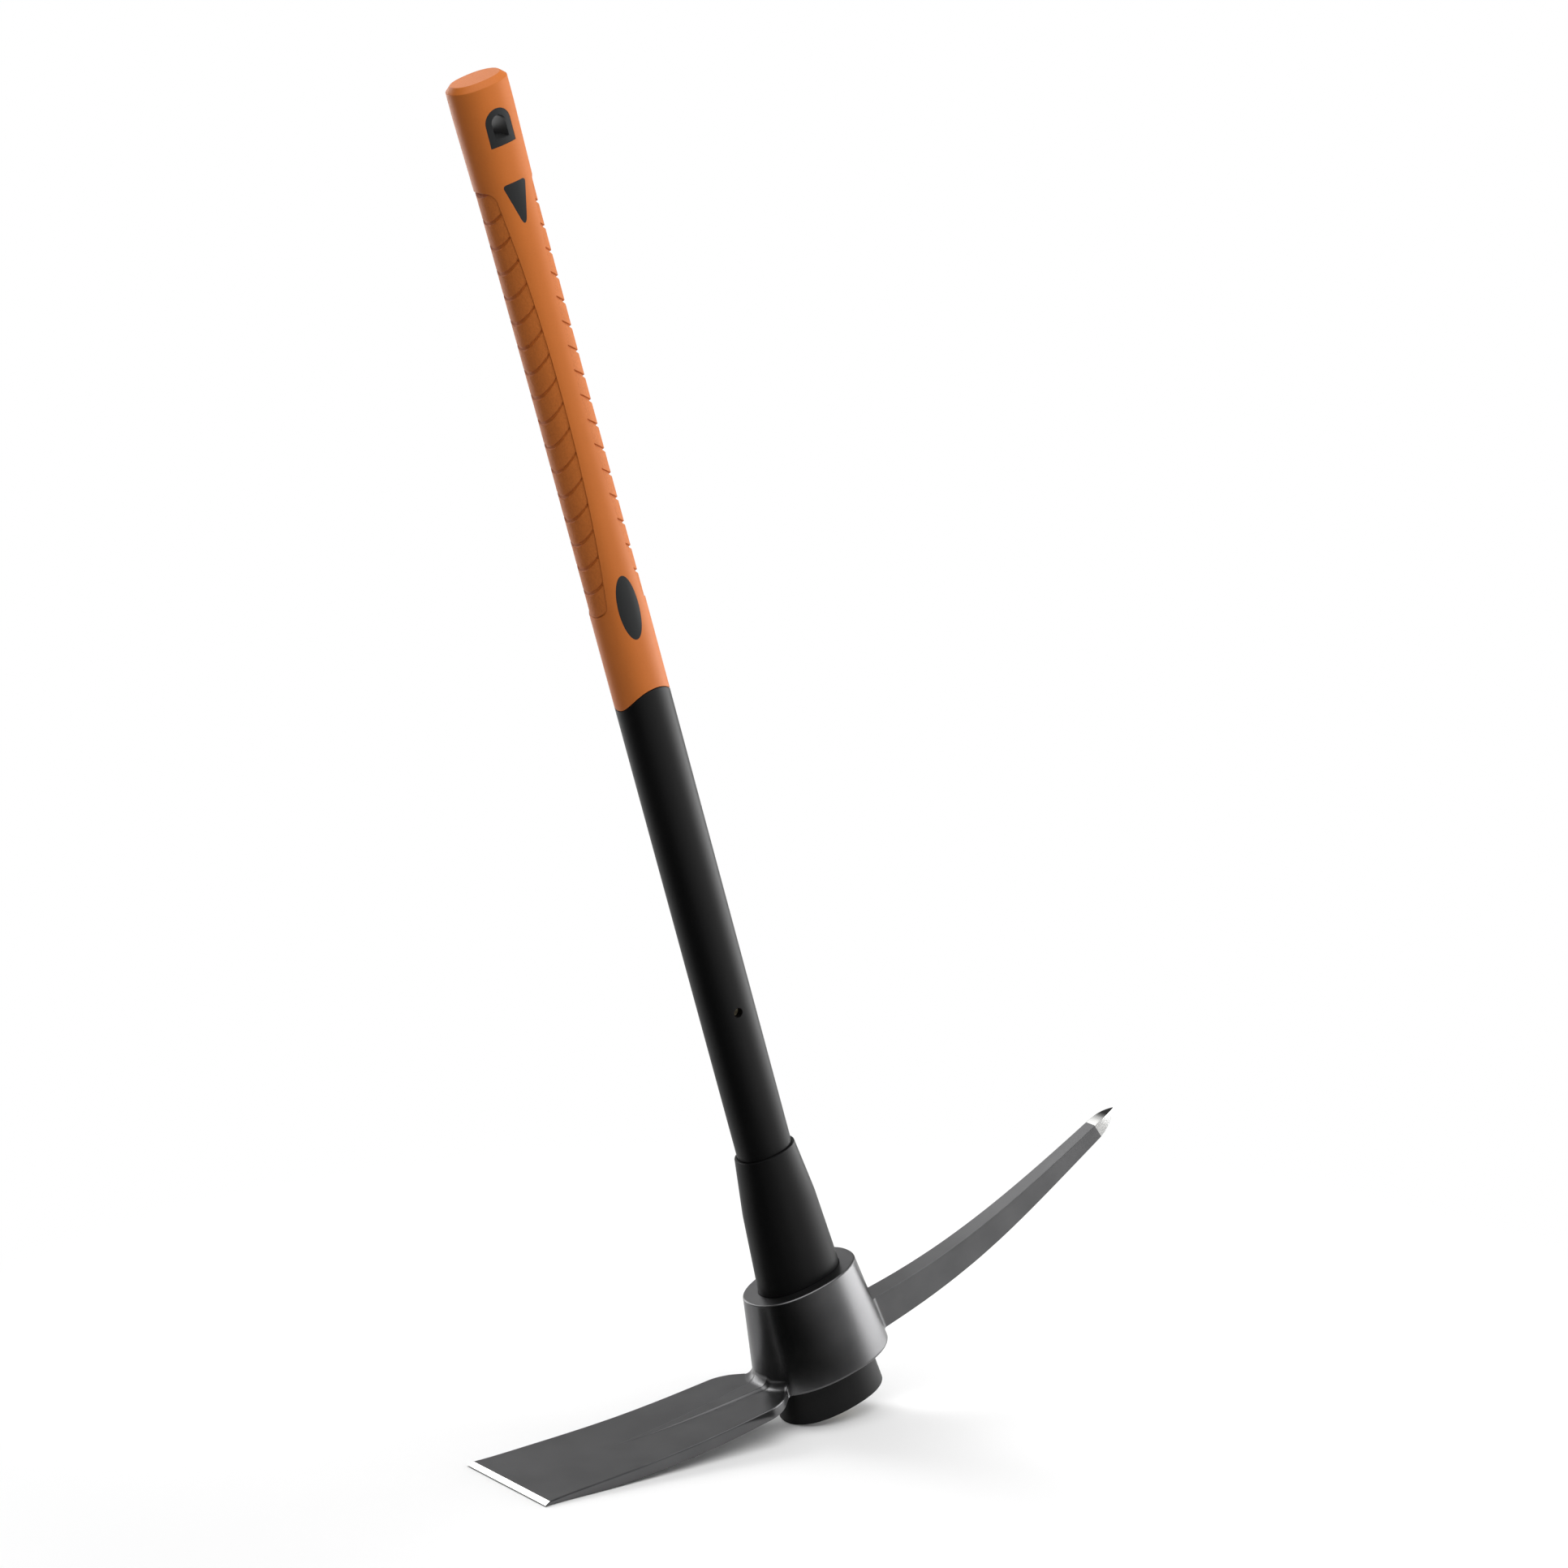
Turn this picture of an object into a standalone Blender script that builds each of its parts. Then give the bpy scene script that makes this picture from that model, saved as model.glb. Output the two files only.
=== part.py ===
"""Pick mattock with a moulded fibreglass handle, standing on its foot and its blade edge.

Everything is modelled in the tool's own axes: the origin is the middle of the foot's end face,
+Z runs up the handle, +X towards the pick and -X towards the mattock blade. At the end two
empties carry the tool and its head: the tool leans until foot and blade edge share the floor.
"""

import math

import bmesh
import bpy
from mathutils import Matrix, Vector
from mathutils.geometry import interpolate_bezier

MM = 0.001

# Clearances, and the fineness of round shapes
GAP = 0.3 * MM
CUT_MARGIN = 3.0 * MM
WELD_DISTANCE = 0.01 * MM
BORE_SIDES = 24
CURVE_STEPS = 10
ARCH_STEPS = 15
ROUND_POINTS = 6
ROUND_PULL = 0.6
SMOOTH_ANGLE = math.radians(30.0)

# Oval sections: a superellipse with its long half width along X
OVAL_SIDES = 48
OVAL_POWER = 2.25

# Handle: the grip starts at the seam, and what lies near the butt is placed from the handle's end
HANDLE_LENGTH = 914.0 * MM
SEAM_HEIGHT = 507.5 * MM
SHAFT_LONG = 18.7 * MM
SHAFT_WIDE = 13.8 * MM
CORE_LONG = 12.5 * MM
CORE_WIDE = 8.5 * MM
ROD_COVER = 50.0 * MM
ROD_TOP = HANDLE_LENGTH - ROD_COVER
JACKET_END_WALL = 4.0 * MM
PIN_HOLE_HEIGHT = 286.0 * MM
PIN_HOLE_DIAMETER = 6.3 * MM

# Grip
SEAM_WAVE = 4.5 * MM
GRIP_WALL = 3.2 * MM
GRIP_WAIST_LONG = 18.4 * MM
GRIP_WAIST_WIDE = 13.5 * MM
WAIST_BELOW_END = 214.0 * MM
GRIP_WAIST_HEIGHT = HANDLE_LENGTH - WAIST_BELOW_END
SWELL_ABOVE_SEAM = 52.5 * MM
GRIP_SWELL_HEIGHT = SEAM_HEIGHT + SWELL_ABOVE_SEAM
BUTT_LONG = 19.8 * MM
BUTT_WIDE = 14.6 * MM
FLARE_BELOW_END = 19.0 * MM
BUTT_FLARE_HEIGHT = HANDLE_LENGTH - FLARE_BELOW_END
NECK_BELOW_END = 74.0 * MM
BUTT_NECK_HEIGHT = HANDLE_LENGTH - NECK_BELOW_END
BUTT_CHAMFER = 3.4 * MM
TENON_LONG = GRIP_WAIST_LONG - GRIP_WALL
TENON_WIDE = GRIP_WAIST_WIDE - GRIP_WALL

# Textured side pads and their grooves
PAD_ABOVE_SEAM = 58.5 * MM
PAD_BOTTOM = SEAM_HEIGHT + PAD_ABOVE_SEAM
PAD_BELOW_END = 66.0 * MM
PAD_TOP = HANDLE_LENGTH - PAD_BELOW_END
PAD_REACH = 12.3 * MM
PAD_CORNER_REACH = 4.8 * MM
PAD_CORNER = 7.0 * MM
PAD_DEPTH = 2.4 * MM
PAD_DROP = 0.3 * MM
GROOVE_PITCH = 16.3 * MM
GROOVE_WIDTH = 2.2 * MM
GROOVE_DEPTH = 1.1 * MM
GROOVE_MARGIN = 17.0 * MM
GROOVE_FIRST = PAD_BOTTOM + GROOVE_MARGIN
GROOVE_COUNT = 1 + int((PAD_TOP - GROOVE_MARGIN - GROOVE_FIRST) / GROOVE_PITCH)
GROOVE_SLOPE = math.radians(42.0)

# Black inlays in the grip
INLAY_DEPTH = 2.0 * MM
TRIANGLE_BELOW_END = 64.8 * MM
TRIANGLE_TOP = HANDLE_LENGTH - TRIANGLE_BELOW_END
TRIANGLE_HEIGHT = 27.0 * MM
TRIANGLE_WIDTH = 16.8 * MM
TRIANGLE_ROUND = 1.6 * MM
BADGE_ABOVE_SEAM = 60.5 * MM
BADGE_MIDDLE = SEAM_HEIGHT + BADGE_ABOVE_SEAM
BADGE_HEIGHT = 42.8 * MM
BADGE_WIDTH = 15.0 * MM

# Hang hole liner, a D with its round end up
LINER_BELOW_END = 40.8 * MM
LINER_BOTTOM = HANDLE_LENGTH - LINER_BELOW_END
LINER_HEIGHT = 23.0 * MM
LINER_WIDTH = 17.8 * MM
LINER_WALL = 4.1 * MM
LINER_DROP = 0.15 * MM

# Black sleeve that the head slips onto
SLEEVE_TOP = 184.0 * MM
RIM_LONG = 20.7 * MM
RIM_WIDE = 15.4 * MM
CREASE_HEIGHT = 145.0 * MM
CREASE_LONG = 25.6 * MM
CREASE_WIDE = 17.2 * MM
SEAT_TOP_LONG = 29.3 * MM
SEAT_TOP_WIDE = 18.0 * MM
SEAT_BOTTOM_LONG = 34.6 * MM
SEAT_BOTTOM_WIDE = 22.7 * MM
FOOT_LONG = 37.0 * MM
FOOT_WIDE = 25.0 * MM
FOOT_BEVEL = 1.0 * MM

# Eye collar of the head
COLLAR_BOTTOM = 27.3 * MM
COLLAR_TOP = 90.4 * MM
COLLAR_TOP_LONG = 39.9 * MM
COLLAR_TOP_WIDE = 26.4 * MM
COLLAR_BOTTOM_LONG = 47.2 * MM
COLLAR_BOTTOM_WIDE = 34.6 * MM
COLLAR_TOP_BEVEL = 0.9 * MM
COLLAR_BOTTOM_BEVEL = 2.0 * MM
BEVEL_BULGE = 0.3
ARM_ROOT = 22.0 * MM
ROOT_FILLET = 4.5 * MM

# Mattock blade: heights are of its upper and lower face
BLADE_REACH = 240.9 * MM
BLADE_EDGE_HEIGHT = 61.7 * MM
BLADE_EDGE_LAND = 0.6 * MM
BLADE_EDGE_WIDTH = 91.4 * MM
BLADE_GROUND = 4.3 * MM
BLADE_GROUND_RISE = 1.0 * MM
BLADE_FLARE_LENGTH = 36.0 * MM
BLADE_FLARE_WIDTH = 84.6 * MM
FLARE_SLOPE = -0.2
SHOULDER_REACH = 55.8 * MM
SHOULDER_WIDTH = 70.4 * MM
SHOULDER_ROUND = 7.5 * MM
NECK_REACH = 39.5 * MM
NECK_WIDTH = 39.0 * MM
NECK_FILLET = 3.5 * MM
BLADE_ROOT_REACH = 60.0 * MM
BLADE_ROOT_TOP = 35.2 * MM
BLADE_ROOT_BOTTOM = 28.1 * MM
BLADE_TOP_SLOPE = -0.191
BLADE_TOP_PULL = 0.45
BLADE_ROOT_TOP_SLOPE = -0.093
BLADE_UNDER_SLOPE = -0.345
BLADE_ROOT_UNDER_SLOPE = -0.054

# Rib on top of the blade
RIB_REACH = 156.0 * MM
RIB_SUNK = 0.3 * MM
RIB_ROOT_WIDTH = 14.1 * MM
RIB_TIP_WIDTH = 0.4 * MM
RIB_RISE = 1.9 * MM
RIB_FILLET = 5.0 * MM

# Pick
PICK_ROOT_REACH = 50.0 * MM
PICK_ROOT_TOP = 53.3 * MM
PICK_ROOT_BOTTOM = 30.1 * MM
PICK_ROOT_WIDTH = 16.0 * MM
PICK_FILLET = 3.0 * MM
PICK_SHOULDER_REACH = 243.0 * MM
PICK_SHOULDER_TOP = 83.5 * MM
PICK_SHOULDER_BOTTOM = 72.6 * MM
PICK_SHOULDER_WIDTH = 9.7 * MM
PICK_REACH = 261.7 * MM
PICK_TIP_HEIGHT = 85.2 * MM
PICK_TIP_SIZE = 0.8 * MM
PICK_ROOT_TOP_SLOPE = -0.009
PICK_TOP_SLOPE = 0.262
PICK_TOP_PULL = 0.356
PICK_ROOT_BOTTOM_SLOPE = 0.05
PICK_BOTTOM_SLOPE = 0.323
PICK_BOTTOM_PULL = 0.408
PICK_NOSE_SLOPE = -0.12
PICK_CHIN_SLOPE = 0.85
PICK_POINT_SLOPE = -0.6

# Finishes: base colour, roughness, metallic
ORANGE_RUBBER = ((0.533, 0.150, 0.034, 1.0), 0.50, 0.0)
BLACK_PLASTIC = ((0.020, 0.020, 0.021, 1.0), 0.35, 0.0)
BLACK_INLAY = ((0.026, 0.027, 0.028, 1.0), 0.45, 0.0)
GLASS_FIBRE = ((0.560, 0.500, 0.330, 1.0), 0.55, 0.0)
COATED_STEEL = ((0.090, 0.090, 0.092, 1.0), 0.38, 0.6)


def clear_scene():
    """Remove the objects that the scene starts with."""
    for item in list(bpy.data.objects):
        bpy.data.objects.remove(item, do_unlink=True)


def new_collection(name):
    """Add a collection to the scene."""
    collection = bpy.data.collections.new(name)
    bpy.context.scene.collection.children.link(collection)
    return collection


def material(name, finish):
    """Make a plain material from a finish."""
    colour, roughness, metallic = finish
    made = bpy.data.materials.new(name)
    made.use_nodes = True
    shader = made.node_tree.nodes["Principled BSDF"]
    shader.inputs["Base Color"].default_value = colour
    shader.inputs["Roughness"].default_value = roughness
    shader.inputs["Metallic"].default_value = metallic
    made.diffuse_color = colour
    return made


def add_object(name, bm, collection):
    """Turn a bmesh into an object in a collection, its faces turned outwards."""
    bmesh.ops.recalc_face_normals(bm, faces=bm.faces)
    if bm.calc_volume(signed=True) < 0.0:
        bmesh.ops.reverse_faces(bm, faces=bm.faces)
    mesh = bpy.data.meshes.new(name)
    bm.to_mesh(mesh)
    bm.free()
    made = bpy.data.objects.new(name, mesh)
    collection.objects.link(made)
    return made


def as_cutter(item):
    """Show a guide solid as wire and keep it out of the model."""
    item.hide_render = True
    item.display_type = "WIRE"
    return item


def shade(item, finish):
    """Give a part its material and smooth its round faces."""
    item.data.materials.append(material(item.name, finish))
    item.data.shade_smooth()
    item.data.set_sharp_from_angle(angle=SMOOTH_ANGLE)


def combine(target, other, operation):
    """Add a Boolean modifier with another solid."""
    modifier = target.modifiers.new(operation.title() + " " + other.name, "BOOLEAN")
    modifier.operation = operation
    modifier.object = other
    modifier.solver = "EXACT"


def oval_ring(half_long, half_wide, height, wave=0.0):
    """Points round a superellipse; wave lowers its long ends and lifts its flat sides."""
    points = []
    for step in range(OVAL_SIDES):
        angle = 2.0 * math.pi * step / OVAL_SIDES
        cosine, sine = math.cos(angle), math.sin(angle)
        x = half_long * math.copysign(abs(cosine) ** (2.0 / OVAL_POWER), cosine)
        y = half_wide * math.copysign(abs(sine) ** (2.0 / OVAL_POWER), sine)
        points.append(Vector((x, y, height - wave * math.cos(2.0 * angle))))
    return points


def loft(name, rings, collection, closed=False):
    """Skin rings of equal count; closed joins the last to the first, else both ends get caps."""
    bm = bmesh.new()
    loops = [[bm.verts.new(point) for point in ring] for ring in rings]
    following = loops[1:] + ([loops[0]] if closed else [])
    for lower, upper in zip(loops, following):
        for i in range(len(lower)):
            j = (i + 1) % len(lower)
            bm.faces.new((lower[i], lower[j], upper[j], upper[i]))
    if not closed:
        bm.faces.new(loops[0])
        bm.faces.new(loops[-1])
    return add_object(name, bm, collection)


def outline_solid(name, points, half_depth, upright, collection):
    """Extrude a flat outline both ways; upright stands an X-Z outline up across Y."""
    curve = bpy.data.curves.new(name, "CURVE")
    curve.dimensions = "2D"
    curve.fill_mode = "BOTH"
    curve.extrude = half_depth
    spline = curve.splines.new("POLY")
    spline.points.add(len(points) - 1)
    for point, (x, y) in zip(spline.points, points):
        point.co = (x, y, 0.0, 1.0)
    spline.use_cyclic_u = True
    flat = bpy.data.objects.new(name + "_outline", curve)
    collection.objects.link(flat)
    if upright:
        flat.rotation_euler = (math.pi / 2.0, 0.0, 0.0)
    bpy.context.view_layer.update()
    evaluated = flat.evaluated_get(bpy.context.evaluated_depsgraph_get())
    mesh = bpy.data.meshes.new_from_object(evaluated)
    bm = bmesh.new()
    bm.from_mesh(mesh)
    bm.transform(flat.matrix_world)
    bmesh.ops.remove_doubles(bm, verts=bm.verts, dist=WELD_DISTANCE)
    bpy.data.objects.remove(flat, do_unlink=True)
    bpy.data.meshes.remove(mesh)
    return add_object(name, bm, collection)


def bow(start, start_slope, end, end_slope, pull=1.0 / 3.0):
    """Points of a smooth curve between two points, leaving and arriving at the given slopes."""
    run = (end[0] - start[0]) * pull
    first = Vector((start[0], start[1], 0.0))
    last = Vector((end[0], end[1], 0.0))
    leave = first + Vector((run, run * start_slope, 0.0))
    arrive = last - Vector((run, run * end_slope, 0.0))
    points = interpolate_bezier(first, leave, arrive, last, CURVE_STEPS + 1)
    return [(point.x, point.y) for point in points]


def rounded(corner, before, after, radius):
    """Points of a smooth curve that rounds a corner between its two neighbours."""
    middle = Vector((corner[0], corner[1], 0.0))
    start = middle + (Vector((before[0], before[1], 0.0)) - middle).normalized() * radius
    end = middle + (Vector((after[0], after[1], 0.0)) - middle).normalized() * radius
    leave, arrive = start.lerp(middle, ROUND_PULL), end.lerp(middle, ROUND_PULL)
    points = interpolate_bezier(start, leave, arrive, end, ROUND_POINTS)
    return [(point.x, point.y) for point in points]


def mirrored(points):
    """Close a half outline that runs along +Y with its mirror image across the X axis."""
    return points + [(x, -y) for x, y in reversed(points)]


# Handle outline

def handle_rings(inset=0.0):
    """Rings of the grip's outer form from the seam to the butt, drawn in by an inset."""
    stations = [
        (SHAFT_LONG, SHAFT_WIDE, SEAM_HEIGHT, SEAM_WAVE),
        (SHAFT_LONG, SHAFT_WIDE, GRIP_SWELL_HEIGHT, 0.0),
        (GRIP_WAIST_LONG, GRIP_WAIST_WIDE, GRIP_WAIST_HEIGHT, 0.0),
        (SHAFT_LONG, SHAFT_WIDE, BUTT_NECK_HEIGHT, 0.0),
        (BUTT_LONG, BUTT_WIDE, BUTT_FLARE_HEIGHT, 0.0),
        (BUTT_LONG, BUTT_WIDE, HANDLE_LENGTH - BUTT_CHAMFER, 0.0),
        (BUTT_LONG - BUTT_CHAMFER, BUTT_WIDE - BUTT_CHAMFER, HANDLE_LENGTH, 0.0),
    ]
    return [oval_ring(long - inset, wide - inset, height, wave)
            for long, wide, height, wave in stations]


def grip_form(name, inset, cutters):
    """Solid form of the grip, drawn in by an inset, to trim pads and inlays against."""
    return as_cutter(loft(name, handle_rings(inset), cutters))


def build_core(parts):
    """Pultruded glass fibre rod inside the jacket, its end flush with the foot."""
    bottom = oval_ring(CORE_LONG, CORE_WIDE, 0.0)
    top = oval_ring(CORE_LONG, CORE_WIDE, ROD_TOP - JACKET_END_WALL)
    core = loft("fiberglass_core", [bottom, top], parts)
    shade(core, GLASS_FIBRE)
    return core


def build_jacket(parts, cutters):
    """Black jacket round the rod, drawn in above the seam to a tenon for the grip."""
    bore_long, bore_wide = CORE_LONG + GAP, CORE_WIDE + GAP
    rings = [
        oval_ring(bore_long, bore_wide, ROD_TOP - JACKET_END_WALL + GAP),
        oval_ring(bore_long, bore_wide, 0.0),
        oval_ring(SHAFT_LONG, SHAFT_WIDE, 0.0),
        oval_ring(SHAFT_LONG, SHAFT_WIDE, SEAM_HEIGHT - GAP, SEAM_WAVE),
        oval_ring(TENON_LONG, TENON_WIDE, SEAM_HEIGHT - GAP, SEAM_WAVE),
        oval_ring(TENON_LONG, TENON_WIDE, ROD_TOP),
    ]
    jacket = loft("shaft_jacket", rings, parts)
    bm = bmesh.new()
    radius = PIN_HOLE_DIAMETER / 2.0
    for side in (-1.0, 1.0):
        wall_middle = side * (SHAFT_WIDE + bore_wide) / 2.0
        place = (Matrix.Translation((0.0, wall_middle, PIN_HOLE_HEIGHT))
                 @ Matrix.Rotation(math.pi / 2.0, 4, "X"))
        bmesh.ops.create_cone(bm, cap_ends=True, segments=BORE_SIDES, radius1=radius, radius2=radius,
                              depth=2.0 * (SHAFT_WIDE - bore_wide), matrix=place)
    holes = as_cutter(add_object("pin_holes", bm, cutters))
    combine(jacket, holes, "DIFFERENCE")
    shade(jacket, BLACK_PLASTIC)
    return jacket, [holes]


def build_grip(parts):
    """Orange grip moulded over the tenon, closed and chamfered at the butt."""
    cavity_long, cavity_wide = TENON_LONG + GAP, TENON_WIDE + GAP
    rings = [
        oval_ring(cavity_long, cavity_wide, ROD_TOP + GAP),
        oval_ring(cavity_long, cavity_wide, SEAM_HEIGHT, SEAM_WAVE),
    ]
    grip = loft("grip_overmold", rings + handle_rings(), parts)
    shade(grip, ORANGE_RUBBER)
    return grip


def pad_outline(clearance):
    """Outline of the pick side pad from the front: an arched inner edge, open past the outside."""
    outside = SHAFT_LONG + CUT_MARGIN
    middle_x = SHAFT_LONG - PAD_REACH - clearance
    end_x = SHAFT_LONG - PAD_CORNER_REACH - clearance
    bottom, top = PAD_BOTTOM - clearance, PAD_TOP + clearance
    arch = []
    for step in range(1, CURVE_STEPS):
        share = 2.0 * step / CURVE_STEPS - 1.0
        height = (bottom + top + share * (top - bottom)) / 2.0
        arch.append((middle_x + (end_x - middle_x) * share ** 2, height))
    low = rounded((end_x, bottom), (outside, bottom), arch[0], PAD_CORNER)
    high = rounded((end_x, top), arch[-1], (outside, top), PAD_CORNER)
    return [(outside, bottom)] + low + arch + high + [(outside, top)]


def groove_slabs(side, cutters):
    """Tilted slabs, one for each groove of a pad, rising from the edge towards the middle."""
    bm = bmesh.new()
    length, width = 4.0 * PAD_REACH, 4.0 * SHAFT_WIDE
    thickness = GROOVE_WIDTH * math.cos(GROOVE_SLOPE)
    for index in range(GROOVE_COUNT):
        height = GROOVE_FIRST + GROOVE_PITCH * index
        place = (Matrix.Translation((side * GRIP_WAIST_LONG, 0.0, height))
                 @ Matrix.Rotation(side * GROOVE_SLOPE, 4, "Y")
                 @ Matrix.Diagonal((length, width, thickness, 1.0)))
        bmesh.ops.create_cube(bm, size=1.0, matrix=place)
    return as_cutter(add_object(f"groove_slabs_{'pick' if side > 0 else 'blade'}", bm, cutters))


def build_pads(parts, cutters, grip):
    """Two grooved pads let into the sides of the grip, one each way."""
    seat = grip_form("pad_seat_form", PAD_DEPTH + GAP, cutters)
    back = grip_form("pad_back_form", PAD_DEPTH, cutters)
    groove_floor = grip_form("groove_floor_form", PAD_DROP + GROOVE_DEPTH, cutters)
    made, used = [], [seat, back, groove_floor]
    for side, label in ((-1.0, "blade"), (1.0, "pick")):
        half_depth = SHAFT_WIDE + CUT_MARGIN
        shape = [(side * x, z) for x, z in pad_outline(0.0)]
        pocket_shape = [(side * x, z) for x, z in pad_outline(GAP)]
        pocket = as_cutter(outline_solid(f"pad_pocket_{label}", pocket_shape, half_depth, True, cutters))
        combine(pocket, seat, "DIFFERENCE")
        combine(grip, pocket, "DIFFERENCE")
        plan = as_cutter(outline_solid(f"pad_plan_{label}", shape, half_depth, True, cutters))
        grooves = groove_slabs(side, cutters)
        combine(grooves, groove_floor, "DIFFERENCE")
        pad = loft(f"grip_pad_{label}_side", handle_rings(PAD_DROP), parts)
        combine(pad, plan, "INTERSECT")
        combine(pad, back, "DIFFERENCE")
        combine(pad, grooves, "DIFFERENCE")
        shade(pad, ORANGE_RUBBER)
        made.append(pad)
        used += [pocket, plan, grooves]
    return made, used


def triangle_outline(clearance):
    """Rounded triangle that points down."""
    half = TRIANGLE_WIDTH / 2.0 + clearance
    top = TRIANGLE_TOP + clearance
    corners = [(-half, top), (half, top), (0.0, TRIANGLE_TOP - TRIANGLE_HEIGHT - clearance)]
    points = []
    for index, corner in enumerate(corners):
        points += rounded(corner, corners[index - 1], corners[(index + 1) % 3], TRIANGLE_ROUND)
    return points


def badge_outline(clearance):
    """Upright ellipse."""
    half_width = BADGE_WIDTH / 2.0 + clearance
    half_height = BADGE_HEIGHT / 2.0 + clearance
    turns = [2.0 * math.pi * (step + 0.5) / OVAL_SIDES for step in range(OVAL_SIDES)]
    return [(half_width * math.cos(turn), BADGE_MIDDLE + half_height * math.sin(turn)) for turn in turns]


def build_inlays(parts, cutters, grip):
    """Black inlays, front and back, let into the grip flush with its face."""
    seat = grip_form("inlay_seat_form", INLAY_DEPTH + GAP, cutters)
    back = grip_form("inlay_back_form", INLAY_DEPTH, cutters)
    made, used = [], [seat, back]
    for shape, outline in (("triangle_inlay", triangle_outline), ("oval_badge", badge_outline)):
        for side, label in ((-1.0, "front"), (1.0, "back")):
            name = f"{shape}_{label}"
            half_depth = SHAFT_WIDE / 2.0
            pocket = as_cutter(outline_solid(f"{name}_pocket", outline(GAP), half_depth, True, cutters))
            plan = as_cutter(outline_solid(f"{name}_plan", outline(0.0), half_depth, True, cutters))
            for guide in (pocket, plan):
                guide.data.transform(Matrix.Translation((0.0, side * SHAFT_WIDE, 0.0)))
            combine(pocket, seat, "DIFFERENCE")
            combine(grip, pocket, "DIFFERENCE")
            inlay = loft(name, handle_rings(), parts)
            combine(inlay, plan, "INTERSECT")
            combine(inlay, back, "DIFFERENCE")
            shade(inlay, BLACK_INLAY)
            made.append(inlay)
            used += [pocket, plan]
    return made, used


def liner_outline(inset):
    """D with its round end up, drawn in by an inset."""
    half = LINER_WIDTH / 2.0 - inset
    bottom = LINER_BOTTOM + inset
    centre = LINER_BOTTOM + LINER_HEIGHT - LINER_WIDTH / 2.0
    arch = [math.pi * step / ARCH_STEPS for step in range(ARCH_STEPS + 1)]
    return [(-half, bottom), (half, bottom)] + [(half * math.cos(turn), centre + half * math.sin(turn))
                                                for turn in arch]


def build_liner(parts, cutters, grip):
    """D shaped liner of the hang hole, right through the butt."""
    half_depth = BUTT_WIDE + CUT_MARGIN
    pocket = as_cutter(outline_solid("liner_pocket", liner_outline(-GAP), half_depth, True, cutters))
    plan = as_cutter(outline_solid("liner_plan", liner_outline(0.0), half_depth, True, cutters))
    hole = as_cutter(outline_solid("hang_hole", liner_outline(LINER_WALL), half_depth, True, cutters))
    combine(grip, pocket, "DIFFERENCE")
    liner = loft("hang_hole_liner", handle_rings(LINER_DROP), parts)
    combine(liner, plan, "INTERSECT")
    combine(liner, hole, "DIFFERENCE")
    shade(liner, BLACK_INLAY)
    return liner, [pocket, plan, hole]


# Sleeve and head

def seat_size(height):
    """Half widths of the sleeve's taper at a height between the foot and the collar's top."""
    share = (height - COLLAR_BOTTOM) / (COLLAR_TOP - COLLAR_BOTTOM)
    long = SEAT_BOTTOM_LONG + (SEAT_TOP_LONG - SEAT_BOTTOM_LONG) * share
    wide = SEAT_BOTTOM_WIDE + (SEAT_TOP_WIDE - SEAT_BOTTOM_WIDE) * share
    return long, wide


def build_sleeve(parts):
    """Black sleeve round the shaft: thin rim, taper through the eye, and a foot below it."""
    bore_long, bore_wide = SHAFT_LONG + GAP, SHAFT_WIDE + GAP
    rings = [
        oval_ring(bore_long, bore_wide, SLEEVE_TOP),
        oval_ring(bore_long, bore_wide, 0.0),
        oval_ring(FOOT_LONG - FOOT_BEVEL, FOOT_WIDE - FOOT_BEVEL, 0.0),
        oval_ring(FOOT_LONG, FOOT_WIDE, FOOT_BEVEL),
        oval_ring(*seat_size(COLLAR_BOTTOM), COLLAR_BOTTOM),
        oval_ring(*seat_size(COLLAR_TOP), COLLAR_TOP),
        oval_ring(CREASE_LONG, CREASE_WIDE, CREASE_HEIGHT),
        oval_ring(RIM_LONG, RIM_WIDE, SLEEVE_TOP),
    ]
    sleeve = loft("eye_sleeve", rings, parts, closed=True)
    shade(sleeve, BLACK_PLASTIC)
    return sleeve


def collar_size(height):
    """Half widths of the collar's outside at a height."""
    share = (height - COLLAR_BOTTOM) / (COLLAR_TOP - COLLAR_BOTTOM)
    long = COLLAR_BOTTOM_LONG + (COLLAR_TOP_LONG - COLLAR_BOTTOM_LONG) * share
    wide = COLLAR_BOTTOM_WIDE + (COLLAR_TOP_WIDE - COLLAR_BOTTOM_WIDE) * share
    return long, wide


def collar_ring(height, offset=0.0):
    """Ring round the collar at a height, moved out by an offset."""
    long, wide = collar_size(height)
    return oval_ring(long + offset, wide + offset, height)


def build_collar(parts, cutters):
    """Outer form of the eye collar, and the cutter of its tapered eye."""
    rings = [
        collar_ring(COLLAR_BOTTOM, -COLLAR_BOTTOM_BEVEL),
        collar_ring(COLLAR_BOTTOM + BEVEL_BULGE * COLLAR_BOTTOM_BEVEL, -BEVEL_BULGE * COLLAR_BOTTOM_BEVEL),
        collar_ring(COLLAR_BOTTOM + COLLAR_BOTTOM_BEVEL),
        collar_ring(COLLAR_TOP - COLLAR_TOP_BEVEL),
        collar_ring(COLLAR_TOP, -COLLAR_TOP_BEVEL),
    ]
    collar = loft("head_forging", rings, parts)
    eye_rings = []
    for height in (COLLAR_BOTTOM - CUT_MARGIN, COLLAR_TOP + CUT_MARGIN):
        long, wide = seat_size(height)
        eye_rings.append(oval_ring(long + GAP, wide + GAP, height))
    return collar, as_cutter(loft("eye_cutter", eye_rings, cutters))


def root_height(x):
    """Height of the blade's upper face at its root, where it slopes in a straight line."""
    return BLADE_ROOT_TOP + BLADE_ROOT_TOP_SLOPE * (x + BLADE_ROOT_REACH)


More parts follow.
